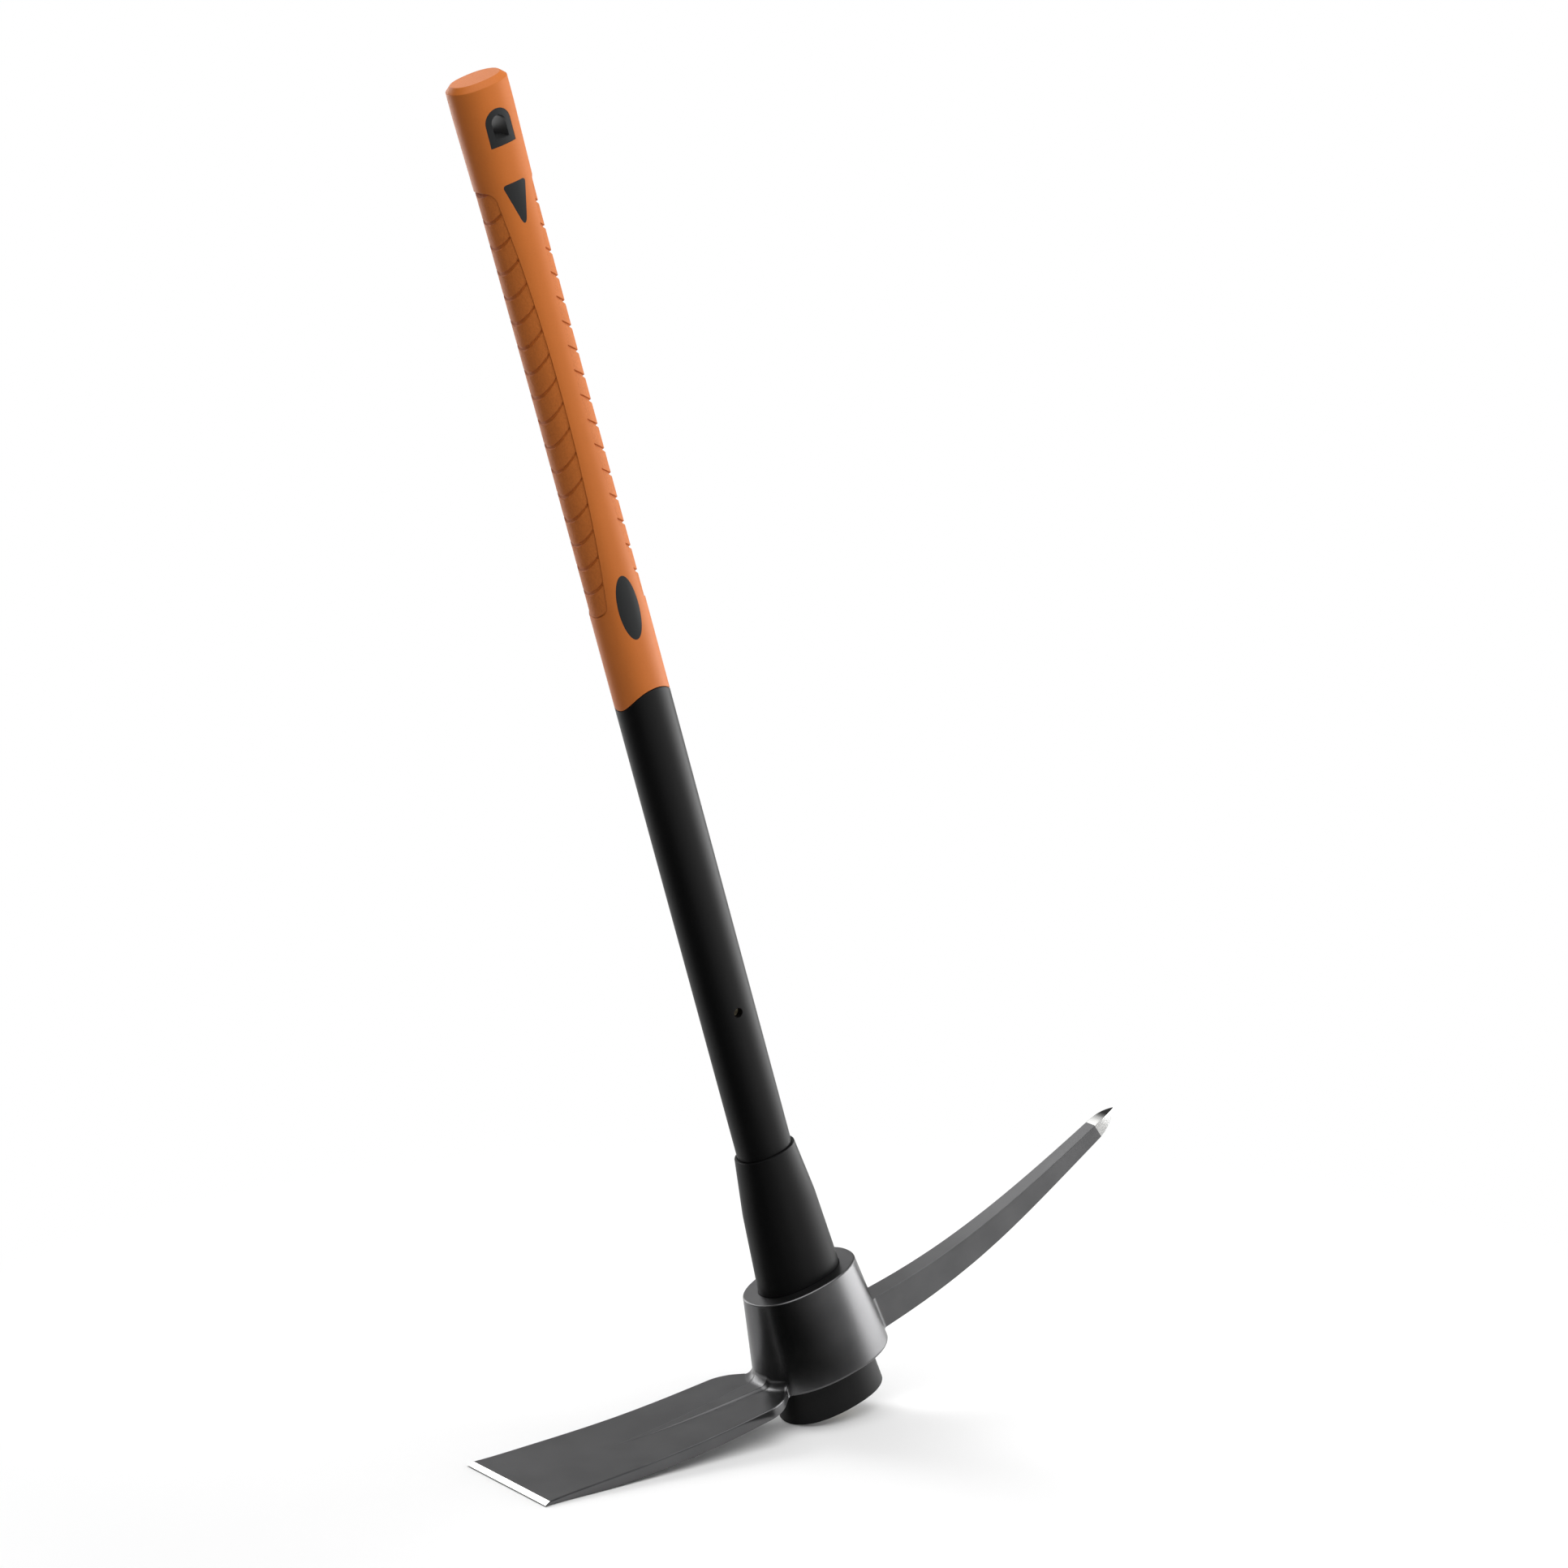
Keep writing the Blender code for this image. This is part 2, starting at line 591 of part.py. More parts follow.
def fillet_skirt(cutters):
    """Concave skirt round the collar that leads down to the blade's root."""
    levels = [(ROOT_FILLET, -ROOT_FILLET / 2.0)]
    steps = CURVE_STEPS // 2
    for step in range(steps + 1):
        turn = math.pi / 2.0 * step / steps
        offset = ROOT_FILLET * (1.0 - math.sin(turn)) - GAP
        levels.append((offset, ROOT_FILLET * (1.0 - math.cos(turn)) - GAP))
    rings = []
    for offset, rise in levels:
        ring = collar_ring(BLADE_ROOT_TOP, offset)
        for point in ring:
            point.z = root_height(point.x) + rise
        rings.append(ring)
    return as_cutter(loft("blade_root_skirt", rings, cutters))


def blade_top():
    """Side view of the blade's upper face, from its root out to where the edge is ground."""
    ground_start = (-(BLADE_REACH - BLADE_GROUND), BLADE_EDGE_HEIGHT + BLADE_GROUND_RISE)
    root = (-BLADE_ROOT_REACH, BLADE_ROOT_TOP)
    return bow(root, BLADE_ROOT_TOP_SLOPE, ground_start, BLADE_TOP_SLOPE, BLADE_TOP_PULL)


def blade_under():
    """Side view of the blade's underside, from its edge in to its root."""
    edge = (-BLADE_REACH, BLADE_EDGE_HEIGHT - BLADE_EDGE_LAND / 2.0)
    root = (-BLADE_ROOT_REACH, BLADE_ROOT_BOTTOM)
    return bow(edge, BLADE_UNDER_SLOPE, root, BLADE_ROOT_UNDER_SLOPE)


def build_blade(cutters):
    """Mattock blade: its side view and root fillet, cut to its plan."""
    side = ([(-ARM_ROOT, root_height(-ARM_ROOT))] + blade_top()
            + [(-BLADE_REACH, BLADE_EDGE_HEIGHT + BLADE_EDGE_LAND / 2.0)] + blade_under()
            + [(-ARM_ROOT, BLADE_ROOT_BOTTOM)])
    half_edge = BLADE_EDGE_WIDTH / 2.0
    half_flare = BLADE_FLARE_WIDTH / 2.0
    half_shoulder = SHOULDER_WIDTH / 2.0
    neck = (-NECK_REACH, NECK_WIDTH / 2.0)
    flare_end = -(BLADE_REACH - BLADE_FLARE_LENGTH)
    taper = (half_shoulder - half_flare) / (-SHOULDER_REACH - flare_end)
    flare = bow((-BLADE_REACH, half_edge), FLARE_SLOPE, (flare_end, half_flare), taper)
    shoulder = rounded((-SHOULDER_REACH, half_shoulder), flare[-1], neck, SHOULDER_ROUND)
    collar_side = (-ARM_ROOT, neck[1] + NECK_REACH - ARM_ROOT)
    plan = mirrored([(-(BLADE_REACH + CUT_MARGIN), half_edge)] + flare + shoulder
                    + rounded(neck, shoulder[-1], collar_side, NECK_FILLET)
                    + [(CUT_MARGIN - ARM_ROOT, neck[1])])
    blade = as_cutter(outline_solid("blade_form", side, BLADE_EDGE_WIDTH, True, cutters))
    skirt = fillet_skirt(cutters)
    blade_plan = as_cutter(outline_solid("blade_plan", plan, COLLAR_TOP, False, cutters))
    combine(blade, skirt, "UNION")
    combine(blade, blade_plan, "INTERSECT")
    return blade, [skirt, blade_plan]


def build_rib(cutters):
    """Low rib on the blade that widens and rises towards the collar, and curves up into it."""
    inner = [point for point in blade_top() if point[0] > -RIB_REACH]
    step = (inner[-1][1] - inner[-2][1]) / (inner[-1][0] - inner[-2][0])
    apex = (-RIB_REACH, inner[-1][1] + step * (-RIB_REACH - inner[-1][0]))
    slope = (RIB_RISE + RIB_SUNK) / (RIB_REACH - NECK_REACH)
    raised = [(x, z - RIB_SUNK + slope * (RIB_REACH + x)) for x, z in inner + [apex]]
    under = [(x, z - RIB_SUNK - RIB_RISE) for x, z in [apex] + inner[::-1]]
    root_x = -collar_size(BLADE_ROOT_TOP)[0]
    root = (root_x, root_height(root_x) + RIB_RISE)
    fillet = rounded(root, (root_x, COLLAR_TOP), raised[0], RIB_FILLET)
    side = ([(-ARM_ROOT, fillet[0][1])] + fillet + raised + under
            + [(-ARM_ROOT, BLADE_ROOT_BOTTOM + RIB_RISE)])
    half_root = RIB_ROOT_WIDTH / 2.0
    plan = mirrored([(-RIB_REACH, RIB_TIP_WIDTH / 2.0), (-NECK_REACH, half_root),
                     (CUT_MARGIN - ARM_ROOT, half_root)])
    rib = as_cutter(outline_solid("rib_form", side, BLADE_EDGE_WIDTH, True, cutters))
    rib_plan = as_cutter(outline_solid("rib_plan", plan, COLLAR_TOP, False, cutters))
    combine(rib, rib_plan, "INTERSECT")
    return rib, [rib_plan]


def build_pick(cutters):
    """Pick: its plan and its side view, crossed, with the ground point at the end."""
    shoulder_top = (PICK_SHOULDER_REACH, PICK_SHOULDER_TOP)
    shoulder_bottom = (PICK_SHOULDER_REACH, PICK_SHOULDER_BOTTOM)
    half_tip = PICK_TIP_SIZE / 2.0
    tip_top = (PICK_REACH, PICK_TIP_HEIGHT + half_tip)
    tip_bottom = (PICK_REACH, PICK_TIP_HEIGHT - half_tip)
    root_top = (PICK_ROOT_REACH, PICK_ROOT_TOP)
    root_bottom = (PICK_ROOT_REACH, PICK_ROOT_BOTTOM)
    upper = bow(root_top, PICK_ROOT_TOP_SLOPE, shoulder_top, PICK_TOP_SLOPE, PICK_TOP_PULL)
    nose = bow(shoulder_top, PICK_TOP_SLOPE, tip_top, PICK_NOSE_SLOPE)
    chin = bow(tip_bottom, PICK_CHIN_SLOPE, shoulder_bottom, PICK_BOTTOM_SLOPE)
    lower = bow(shoulder_bottom, PICK_BOTTOM_SLOPE, root_bottom, PICK_ROOT_BOTTOM_SLOPE, PICK_BOTTOM_PULL)
    side = ([(ARM_ROOT, PICK_ROOT_TOP)] + upper + nose[1:] + chin + lower[1:]
            + [(ARM_ROOT, PICK_ROOT_BOTTOM)])
    half_root = PICK_ROOT_WIDTH / 2.0
    half_shoulder = PICK_SHOULDER_WIDTH / 2.0
    taper = (half_shoulder - half_root) / (PICK_SHOULDER_REACH - PICK_ROOT_REACH)
    root_x = collar_size(PICK_ROOT_BOTTOM)[0]
    corner = (root_x, half_root)
    fillet = rounded(corner, (root_x, COLLAR_TOP_WIDE), (PICK_REACH, half_root), PICK_FILLET)
    point = bow((PICK_SHOULDER_REACH, half_shoulder), taper, (PICK_REACH, half_tip), PICK_POINT_SLOPE)
    plan = mirrored([(ARM_ROOT, fillet[0][1])] + fillet + [(PICK_ROOT_REACH, half_root)] + point)
    pick = as_cutter(outline_solid("pick_form", side, COLLAR_BOTTOM_WIDE, True, cutters))
    pick_plan = as_cutter(outline_solid("pick_plan", plan, PICK_REACH, False, cutters))
    combine(pick, pick_plan, "INTERSECT")
    return pick, [pick_plan]


def build_head(parts, cutters):
    """One forging: eye collar, mattock blade with its rib, and pick."""
    head, eye = build_collar(parts, cutters)
    used = [eye]
    for arm, plans in (build_blade(cutters), build_rib(cutters), build_pick(cutters)):
        combine(head, arm, "UNION")
        used += [arm] + plans
    combine(head, eye, "DIFFERENCE")
    shade(head, COATED_STEEL)
    return head, used


# Placing

def lean_angle():
    """Lean at which the underside of the blade first meets a floor that the foot's rim stands on."""
    rim = FOOT_LONG - FOOT_BEVEL
    return min(math.atan2(z, -x - rim) for x, z in blade_under())


def world_bounds(items):
    """Lowest and highest corner of the finished parts."""
    graph = bpy.context.evaluated_depsgraph_get()
    corners = []
    for item in items:
        evaluated = item.evaluated_get(graph)
        corners += [evaluated.matrix_world @ vertex.co for vertex in evaluated.data.vertices]
    low = Vector(min(corner[axis] for corner in corners) for axis in range(3))
    high = Vector(max(corner[axis] for corner in corners) for axis in range(3))
    return low, high


def stand_up(handle_items, head_items, handle_parts, head_part, parts):
    """Lean the tool on its foot and edge, with the origin under the middle of its box."""
    tool = bpy.data.objects.new("tool_axis", None)
    seat = bpy.data.objects.new("head_axis", None)
    for empty in (tool, seat):
        empty.empty_display_size = CUT_MARGIN
        parts.objects.link(empty)
    seat.parent = tool
    seat.location = (0.0, 0.0, COLLAR_TOP)
    for item in handle_items:
        item.parent = tool
    for item in head_items:
        item.data.transform(Matrix.Translation((0.0, 0.0, -COLLAR_TOP)))
        item.parent = seat
    tool.rotation_euler = (0.0, -lean_angle(), 0.0)
    bpy.context.view_layer.update()
    low, high = world_bounds(handle_parts + [head_part])
    tool.location = (-(low.x + high.x) / 2.0, -(low.y + high.y) / 2.0, -low.z)
    bpy.context.view_layer.update()


def main():
    """Build every piece of the tool and stand it up."""
    clear_scene()
    parts = new_collection("pick_mattock")
    cutters = new_collection("cutters")
    core = build_core(parts)
    jacket, jacket_cutters = build_jacket(parts, cutters)
    grip = build_grip(parts)
    pads, pad_cutters = build_pads(parts, cutters, grip)
    inlays, inlay_cutters = build_inlays(parts, cutters, grip)
    liner, liner_cutters = build_liner(parts, cutters, grip)
    sleeve = build_sleeve(parts)
    head, head_cutters = build_head(parts, cutters)
    handle_parts = [core, jacket, grip, liner, sleeve] + pads + inlays
    handle_cutters = jacket_cutters + pad_cutters + inlay_cutters + liner_cutters
    stand_up(handle_parts + handle_cutters, [head] + head_cutters, handle_parts, head, parts)


main()
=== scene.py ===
"""Looks of a standing pick mattock: finely shaped pieces, their finishes, the studio and camera.

Every piece is shaped in millimetres in the tool's own axes: the origin is the middle of the foot's
end face, +Z runs up the handle, +X towards the pick and -X towards the blade. When a piece is
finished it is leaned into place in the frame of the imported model, in metres.
"""

import logging
import math
from collections.abc import Callable, Iterator
from contextlib import contextmanager
from dataclasses import dataclass, field
from enum import Enum

import bpy
from mathutils import Matrix, Vector
from mathutils.geometry import interpolate_bezier


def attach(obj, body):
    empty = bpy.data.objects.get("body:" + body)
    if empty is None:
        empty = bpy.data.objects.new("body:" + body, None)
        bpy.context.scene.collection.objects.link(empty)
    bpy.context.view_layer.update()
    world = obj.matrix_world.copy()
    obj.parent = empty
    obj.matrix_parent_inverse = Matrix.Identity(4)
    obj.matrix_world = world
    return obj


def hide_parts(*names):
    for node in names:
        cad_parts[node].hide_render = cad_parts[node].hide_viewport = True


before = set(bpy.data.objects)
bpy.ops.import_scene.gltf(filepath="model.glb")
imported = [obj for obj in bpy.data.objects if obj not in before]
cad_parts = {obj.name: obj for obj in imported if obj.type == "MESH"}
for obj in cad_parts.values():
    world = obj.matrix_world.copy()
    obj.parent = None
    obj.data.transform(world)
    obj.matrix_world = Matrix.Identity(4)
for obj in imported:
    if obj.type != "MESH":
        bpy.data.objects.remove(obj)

LOG = logging.getLogger("pick_mattock")
MM = 0.001
LEAN = math.radians(16.54640647)
FOOT_CENTRE = Vector((25.8, 0.0, 10.253)) * MM
PLACE = (Matrix.Translation(FOOT_CENTRE) @ Matrix.Rotation(-LEAN, 4, "Y")
         @ Matrix.Diagonal((MM, MM, MM, 1.0)))

# Lengths in millimetres
GAP = 0.3
SEAT_GAP = 0.04
CUT_REACH = 20.0
CUT_MARGIN = 3.0
MERGE_DISTANCE = 0.0005

# How shapes are drawn
OVAL_POWER = 2.25
OVAL_SIDES = 128
FINE_SIDES = 192
ROUND_PULL = 0.56
EDGE_SHAPE = ((0.0, 1.0), (0.3, 0.3), (1.0, 0.0))
HALVINGS = 44
TINY = 1e-9
SMOOTH_ANGLE = math.radians(32.0)
SHARP_ANGLE = math.radians(50.0)
BEVEL_FACES = 2

UP = Vector((0.0, 0.0, 1.0))
WHITE = (1.0, 1.0, 1.0, 1.0)

Plan = tuple[float, float]
Colour = tuple[float, float, float]
Piece = bpy.types.Object
Finish = bpy.types.Material
Socket = bpy.types.NodeSocket


class Body(Enum):
    """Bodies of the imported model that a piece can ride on."""

    HANDLE = "handle"
    HEAD = "head"


class Slot(Enum):
    """Material slots of the record, named for the fine pieces."""

    ORANGE = "orange_rubber"
    GRAINED = "grained_rubber"
    BLACK = "black_plastic"
    INLAY = "black_inlay"
    STEEL = "coated_steel"


class Cut(Enum):
    """Ways of combining two solids."""

    ADD = "UNION"
    TAKE_AWAY = "DIFFERENCE"
    KEEP_COMMON = "INTERSECT"


def held_share(value: float, low: float, high: float) -> float:
    """Share of the way from low to high, held at 0 and 1."""
    return min(max((value - low) / (high - low), 0.0), 1.0)


def oval_value(x: float, y: float, long: float, wide: float) -> float:
    """Tell how far out a point lies: 1 on the oval of these half widths, less inside it."""
    return (abs(x) / long) ** OVAL_POWER + (abs(y) / wide) ** OVAL_POWER


def oval_point(turn: float, long: float, wide: float, height: float) -> Vector:
    """Give a point of the superellipse that every section of the handle and the eye follows.

    Args:
        turn: Angle of the matching point on a circle.
        long: Half width along X.
        wide: Half width along Y.
        height: Height of the section.

    Returns:
        The point.
    """
    cosine, sine = math.cos(turn), math.sin(turn)
    x = long * math.copysign(abs(cosine) ** (2.0 / OVAL_POWER), cosine)
    y = wide * math.copysign(abs(sine) ** (2.0 / OVAL_POWER), sine)
    return Vector((x, y, height))


def quarter(step: float, steps: int, radius: float) -> Plan:
    """Distance of a step of a quarter round from the end face, and how far it is drawn in."""
    turn = math.pi / 2.0 * step / steps
    return radius * (1.0 - math.sin(turn)), radius * (1.0 - math.cos(turn))


def edge_rings(long: float, wide: float, end: float, soft: float,
               *wave: float) -> list[tuple[float, ...]]:
    """Give the rings of a softened edge, from the side wall to the end face.

    EDGE_SHAPE says how far each ring is drawn in and how far from the end face it lies.

    Args:
        long: Half width of the wall along X.
        wide: Half width of the wall along Y.
        end: Height of the end face.
        soft: Width of the softened edge, negative at a lower end.
        *wave: Height of the rings' wave, where they have one.

    Returns:
        The rings.
    """
    size = abs(soft)
    return [(long - inset * size, wide - inset * size, end - away * soft, *wave)
            for inset, away in EDGE_SHAPE]


def bow(start: Plan, start_slope: float, end: Plan, end_slope: float,
        pull: float = 1.0 / 3.0, steps: int = 20) -> list[Plan]:
    """Draw a smooth curve between two points that leaves and arrives at given slopes.

    Args:
        start: First point.
        start_slope: Slope at the first point.
        end: Last point.
        end_slope: Slope at the last point.
        pull: Share of the run over which each slope acts.
        steps: Number of steps along the curve.

    Returns:
        The points from start to end.
    """
    run = (end[0] - start[0]) * pull
    first, last = Vector((*start, 0.0)), Vector((*end, 0.0))
    leave = first + Vector((run, run * start_slope, 0.0))
    arrive = last - Vector((run, run * end_slope, 0.0))
    return [(p.x, p.y) for p in interpolate_bezier(first, leave, arrive, last, steps + 1)]


def rounded(corner: Plan, before: Plan, after: Plan, radius: float, steps: int = 8) -> list[Plan]:
    """Round a corner between its two neighbours.

    Args:
        corner: The sharp corner.
        before: A point on the side before it.
        after: A point on the side after it.
        radius: Distance from the corner at which the rounding starts and ends.
        steps: Number of steps along the rounding.

    Returns:
        The points of the rounding.
    """
    middle = Vector((*corner, 0.0))
    start, end = (middle + (Vector((*other, 0.0)) - middle).normalized() * radius
                  for other in (before, after))
    leave, arrive = start.lerp(middle, ROUND_PULL), end.lerp(middle, ROUND_PULL)
    return [(p.x, p.y) for p in interpolate_bezier(start, leave, arrive, end, steps + 1)]


def along(points: list[Plan], x: float) -> float:
    """Read a curve at one x.

    Args:
        points: Points of the curve in order of growing x.
        x: Where to read it.

    Returns:
        The curve's other coordinate, held at the curve's ends.
    """
    if x <= points[0][0]:
        return points[0][1]
    for (x0, y0), (x1, y1) in zip(points, points[1:]):
        if x <= x1:
            return y0 + (y1 - y0) * (x - x0) / (x1 - x0)
    return points[-1][1]


def halved(low: float, high: float, above: Callable[[float], bool]) -> Plan:
    """Close in on the place where a test starts to hold.

    Args:
        low: A place below it.
        high: A place above it.
        above: Test that holds above the place looked for.

    Returns:
        The last places below and above it.
    """
    for _ in range(HALVINGS):
        middle = (low + high) / 2.0
        low, high = (low, middle) if above(middle) else (middle, high)
    return low, high


class Bench:
    """Workbench: Blender's own modelling tools, as used by hand."""

    @staticmethod
    def clear() -> None:
        """Deselect everything."""
        bpy.ops.object.select_all(action="DESELECT")

    @staticmethod
    def take(piece: Piece) -> None:
        """Select one piece alone and make it the active one."""
        Bench.clear()
        piece.select_set(True)
        bpy.context.view_layer.objects.active = piece

    @staticmethod
    def named(name: str) -> Piece:
        """Name the piece that was added last."""
        piece = bpy.context.active_object
        piece.name = name
        return piece

    @staticmethod
    @contextmanager
    def editing(action: str = "") -> Iterator[None]:
        """Open the active piece in edit mode, after selecting or deselecting all of it."""
        bpy.ops.object.mode_set(mode="EDIT")
        if action:
            bpy.ops.mesh.select_all(action=action)
        yield
        bpy.ops.object.mode_set(mode="OBJECT")

    @staticmethod
    def ring_stack(name: str, sides: int, rings: int, place: Callable[[int, int], Vector],
                   closed: bool = False) -> Piece:
        """Extrude a circle ring by ring and put each point where it belongs.

        Args:
            name: Name of the new piece.
            sides: Points in a ring.
            rings: Number of rings.
            place: Gives the place of a point from its ring and its number in the ring.
            closed: Bridge the last ring to the first instead of closing both ends.

        Returns:
            The new solid.
        """
        Bench.clear()
        bpy.ops.mesh.primitive_circle_add(vertices=sides, radius=1.0, location=(0.0, 0.0, 0.0))
        piece = Bench.named(name)
        with Bench.editing("SELECT"):
            for _ in range(rings - 1):
                bpy.ops.mesh.extrude_region_move(TRANSFORM_OT_translate={"value": UP})
            if closed:
                bpy.ops.mesh.select_all(action="DESELECT")
                bpy.ops.mesh.select_mode(type="EDGE")
                bpy.ops.mesh.select_non_manifold()
                bpy.ops.mesh.bridge_edge_loops()
            else:
                bpy.ops.mesh.select_all(action="SELECT")
                bpy.ops.mesh.fill_holes(sides=0)
        for vertex in piece.data.vertices:
            turn = math.atan2(vertex.co.y, vertex.co.x) / (2.0 * math.pi)
            vertex.co = place(round(vertex.co.z), round(turn * sides) % sides)
        Bench.turn_outwards(piece)
        return piece

    @staticmethod
    def ovals(name: str, rings: list[tuple[float, ...]], sides: int = OVAL_SIDES,
              closed: bool = False) -> Piece:
        """Stack ovals into a solid.

        Args:
            name: Name of the new piece.
            rings: Half widths and height of each oval, and the height of its wave if it has one.
            sides: Points in a ring.
            closed: Bridge the last ring to the first instead of closing both ends.

        Returns:
            The new solid.
        """
        def place(ring: int, side: int) -> Vector:
            """Place a point of a ring."""
            long, wide, height, *wave = rings[ring]
            turn = 2.0 * math.pi * side / sides
            return oval_point(turn, long, wide, height) - UP * (sum(wave) * math.cos(2.0 * turn))

        return Bench.ring_stack(name, sides, len(rings), place, closed)

    @staticmethod
    def slab(name: str, rows: int, columns: int,
             place: Callable[[int, int, bool], Vector]) -> Piece:
        """Extrude a grid into a slab and put each point where it belongs.

        Args:
            name: Name of the new piece.
            rows: Points along X.
            columns: Points along Y.
            place: Gives the place of a point from its row, its column and whether it is on top.

        Returns:
            The new solid.
        """
        Bench.clear()
        bpy.ops.mesh.primitive_grid_add(x_subdivisions=rows - 1, y_subdivisions=columns - 1,
                                        size=1.0)
        piece = Bench.named(name)
        with Bench.editing("SELECT"):
            bpy.ops.mesh.extrude_region_move(TRANSFORM_OT_translate={"value": -UP})
        for vertex in piece.data.vertices:
            row = round((vertex.co.x + 0.5) * (rows - 1))
            column = round((vertex.co.y + 0.5) * (columns - 1))
            vertex.co = place(row, column, vertex.co.z > -0.5)
        Bench.turn_outwards(piece)
        return piece

    @staticmethod
    def prism(outline: list[Plan], low: float = -CUT_REACH, high: float = CUT_REACH) -> Piece:
        """Extrude an outline drawn in X-Z along Y.

        Args:
            outline: Points of the outline.
            low: Where the extrusion starts on Y.
            high: Where it ends.

        Returns:
            The new solid.
        """
        Bench.clear()
        bpy.ops.mesh.primitive_circle_add(vertices=len(outline), fill_type="NGON")
        piece = Bench.named("prism")
        for vertex, (x, z) in zip(piece.data.vertices, outline):
            vertex.co = (x, low, z)
        with Bench.editing("SELECT"):
            bpy.ops.mesh.extrude_region_move(
                TRANSFORM_OT_translate={"value": (0.0, high - low, 0.0)})
        Bench.turn_outwards(piece)
        return piece

    @staticmethod
    def turn_outwards(piece: Piece) -> None:
        """Merge doubled points and turn all faces outwards."""
        Bench.take(piece)
        with Bench.editing("SELECT"):
            bpy.ops.mesh.remove_doubles(threshold=MERGE_DISTANCE)
            bpy.ops.mesh.normals_make_consistent(inside=False)

    @staticmethod
    def mirrored(piece: Piece, across: str) -> Piece:
        """Copy a piece with its own mesh, mirrored across one axis.

        Args:
            piece: The piece to copy.
            across: Letter of the axis.

        Returns:
            The mirrored copy.
        """
        Bench.take(piece)
        bpy.ops.object.duplicate()
        twin = bpy.context.active_object
        scale = [-1.0 if axis == across else 1.0 for axis in "XYZ"]
        twin.data.transform(Matrix.Diagonal((*scale, 1.0)))
        Bench.turn_outwards(twin)
        return twin

    @staticmethod
    def combine(piece: Piece, other: Piece, cut: Cut, keep: bool = False) -> None:
        """Combine a piece with another solid, which is used up unless it is kept.

        Args:
            piece: The piece that stays.
            other: The other solid.
            cut: How the two are combined.
            keep: Leave the other solid in the scene.
        """
        Bench.take(piece)
        modifier = piece.modifiers.new(cut.name, "BOOLEAN")
        modifier.operation = cut.value
        modifier.object = other
        modifier.solver = "EXACT"
        bpy.ops.object.modifier_apply(modifier=modifier.name)
        if not keep:
            bpy.data.objects.remove(other, do_unlink=True)

    @staticmethod
    def bevel(piece: Piece, wanted: Callable[[Vector, Vector], bool], width: float) -> None:
        """Bevel the sharp edges that a test on their two ends accepts.

        Args:
            piece: The piece to work on.
            wanted: Test on the two end points of an edge.
            width: Width of the bevel.
        """
        Bench.take(piece)
        with Bench.editing("DESELECT"):
            bpy.ops.mesh.select_mode(type="EDGE")
            bpy.ops.mesh.edges_select_sharp(sharpness=SHARP_ANGLE)
        points = piece.data.vertices
        for edge in piece.data.edges:
            ends = [points[i].co for i in edge.vertices]
            edge.select = edge.select and wanted(*ends)
        with Bench.editing():
            bpy.ops.mesh.bevel(offset=width, segments=BEVEL_FACES, affect="EDGES",
                               clamp_overlap=True)

    @staticmethod
    def hand_over(piece: Piece, body: Body, node: str, slot: Slot, *finishes: Finish) -> None:
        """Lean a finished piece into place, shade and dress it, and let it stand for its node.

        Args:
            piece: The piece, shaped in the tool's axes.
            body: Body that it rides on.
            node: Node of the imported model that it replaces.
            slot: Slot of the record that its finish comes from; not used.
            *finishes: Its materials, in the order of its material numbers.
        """
        piece.data.transform(PLACE)
        piece.name = piece.data.name = f"{node}_fine"
        for finish in finishes:
            piece.data.materials.append(finish)
        Bench.take(piece)
        bpy.ops.object.shade_smooth_by_angle(angle=SMOOTH_ANGLE)
        weighted = piece.modifiers.new("weighted_normals", "WEIGHTED_NORMAL")
        weighted.keep_sharp = True
        bpy.ops.object.modifier_apply(modifier=weighted.name)
        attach(piece, body.value)
        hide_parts(node)
        LOG.info("%s: %d faces", piece.name, len(piece.data.polygons))


# Finishes

class Graph:
    """Small builder for a node tree."""

    def __init__(self, tree: bpy.types.NodeTree) -> None:
        """Start from the tree as it is."""
        self.tree = tree

    @classmethod
    def emptied(cls, owner: Finish | bpy.types.World) -> "Graph":
        """Start the nodes of a material or a world from nothing."""
        owner.use_nodes = True
        owner.node_tree.nodes.clear()
        return cls(owner.node_tree)

    def add(self, kind: str, links: dict[str | int, Socket] | None = None,
            **values: object) -> bpy.types.Node:
        """Add a node.

        Args:
            kind: Blender's name for the node.
            links: Sockets to join to its inputs, by input name or number.
            **values: Settings of the node, or of its inputs by name with spaces as underscores.

        Returns:
            The new node.
        """
        node = self.tree.nodes.new(kind)
        for key, value in values.items():
            if hasattr(node, key):
                setattr(node, key, value)
            else:
                node.inputs[key.replace("_", " ")].default_value = value
        for key, socket in (links or {}).items():
            self.tree.links.new(socket, node.inputs[key])
        return node


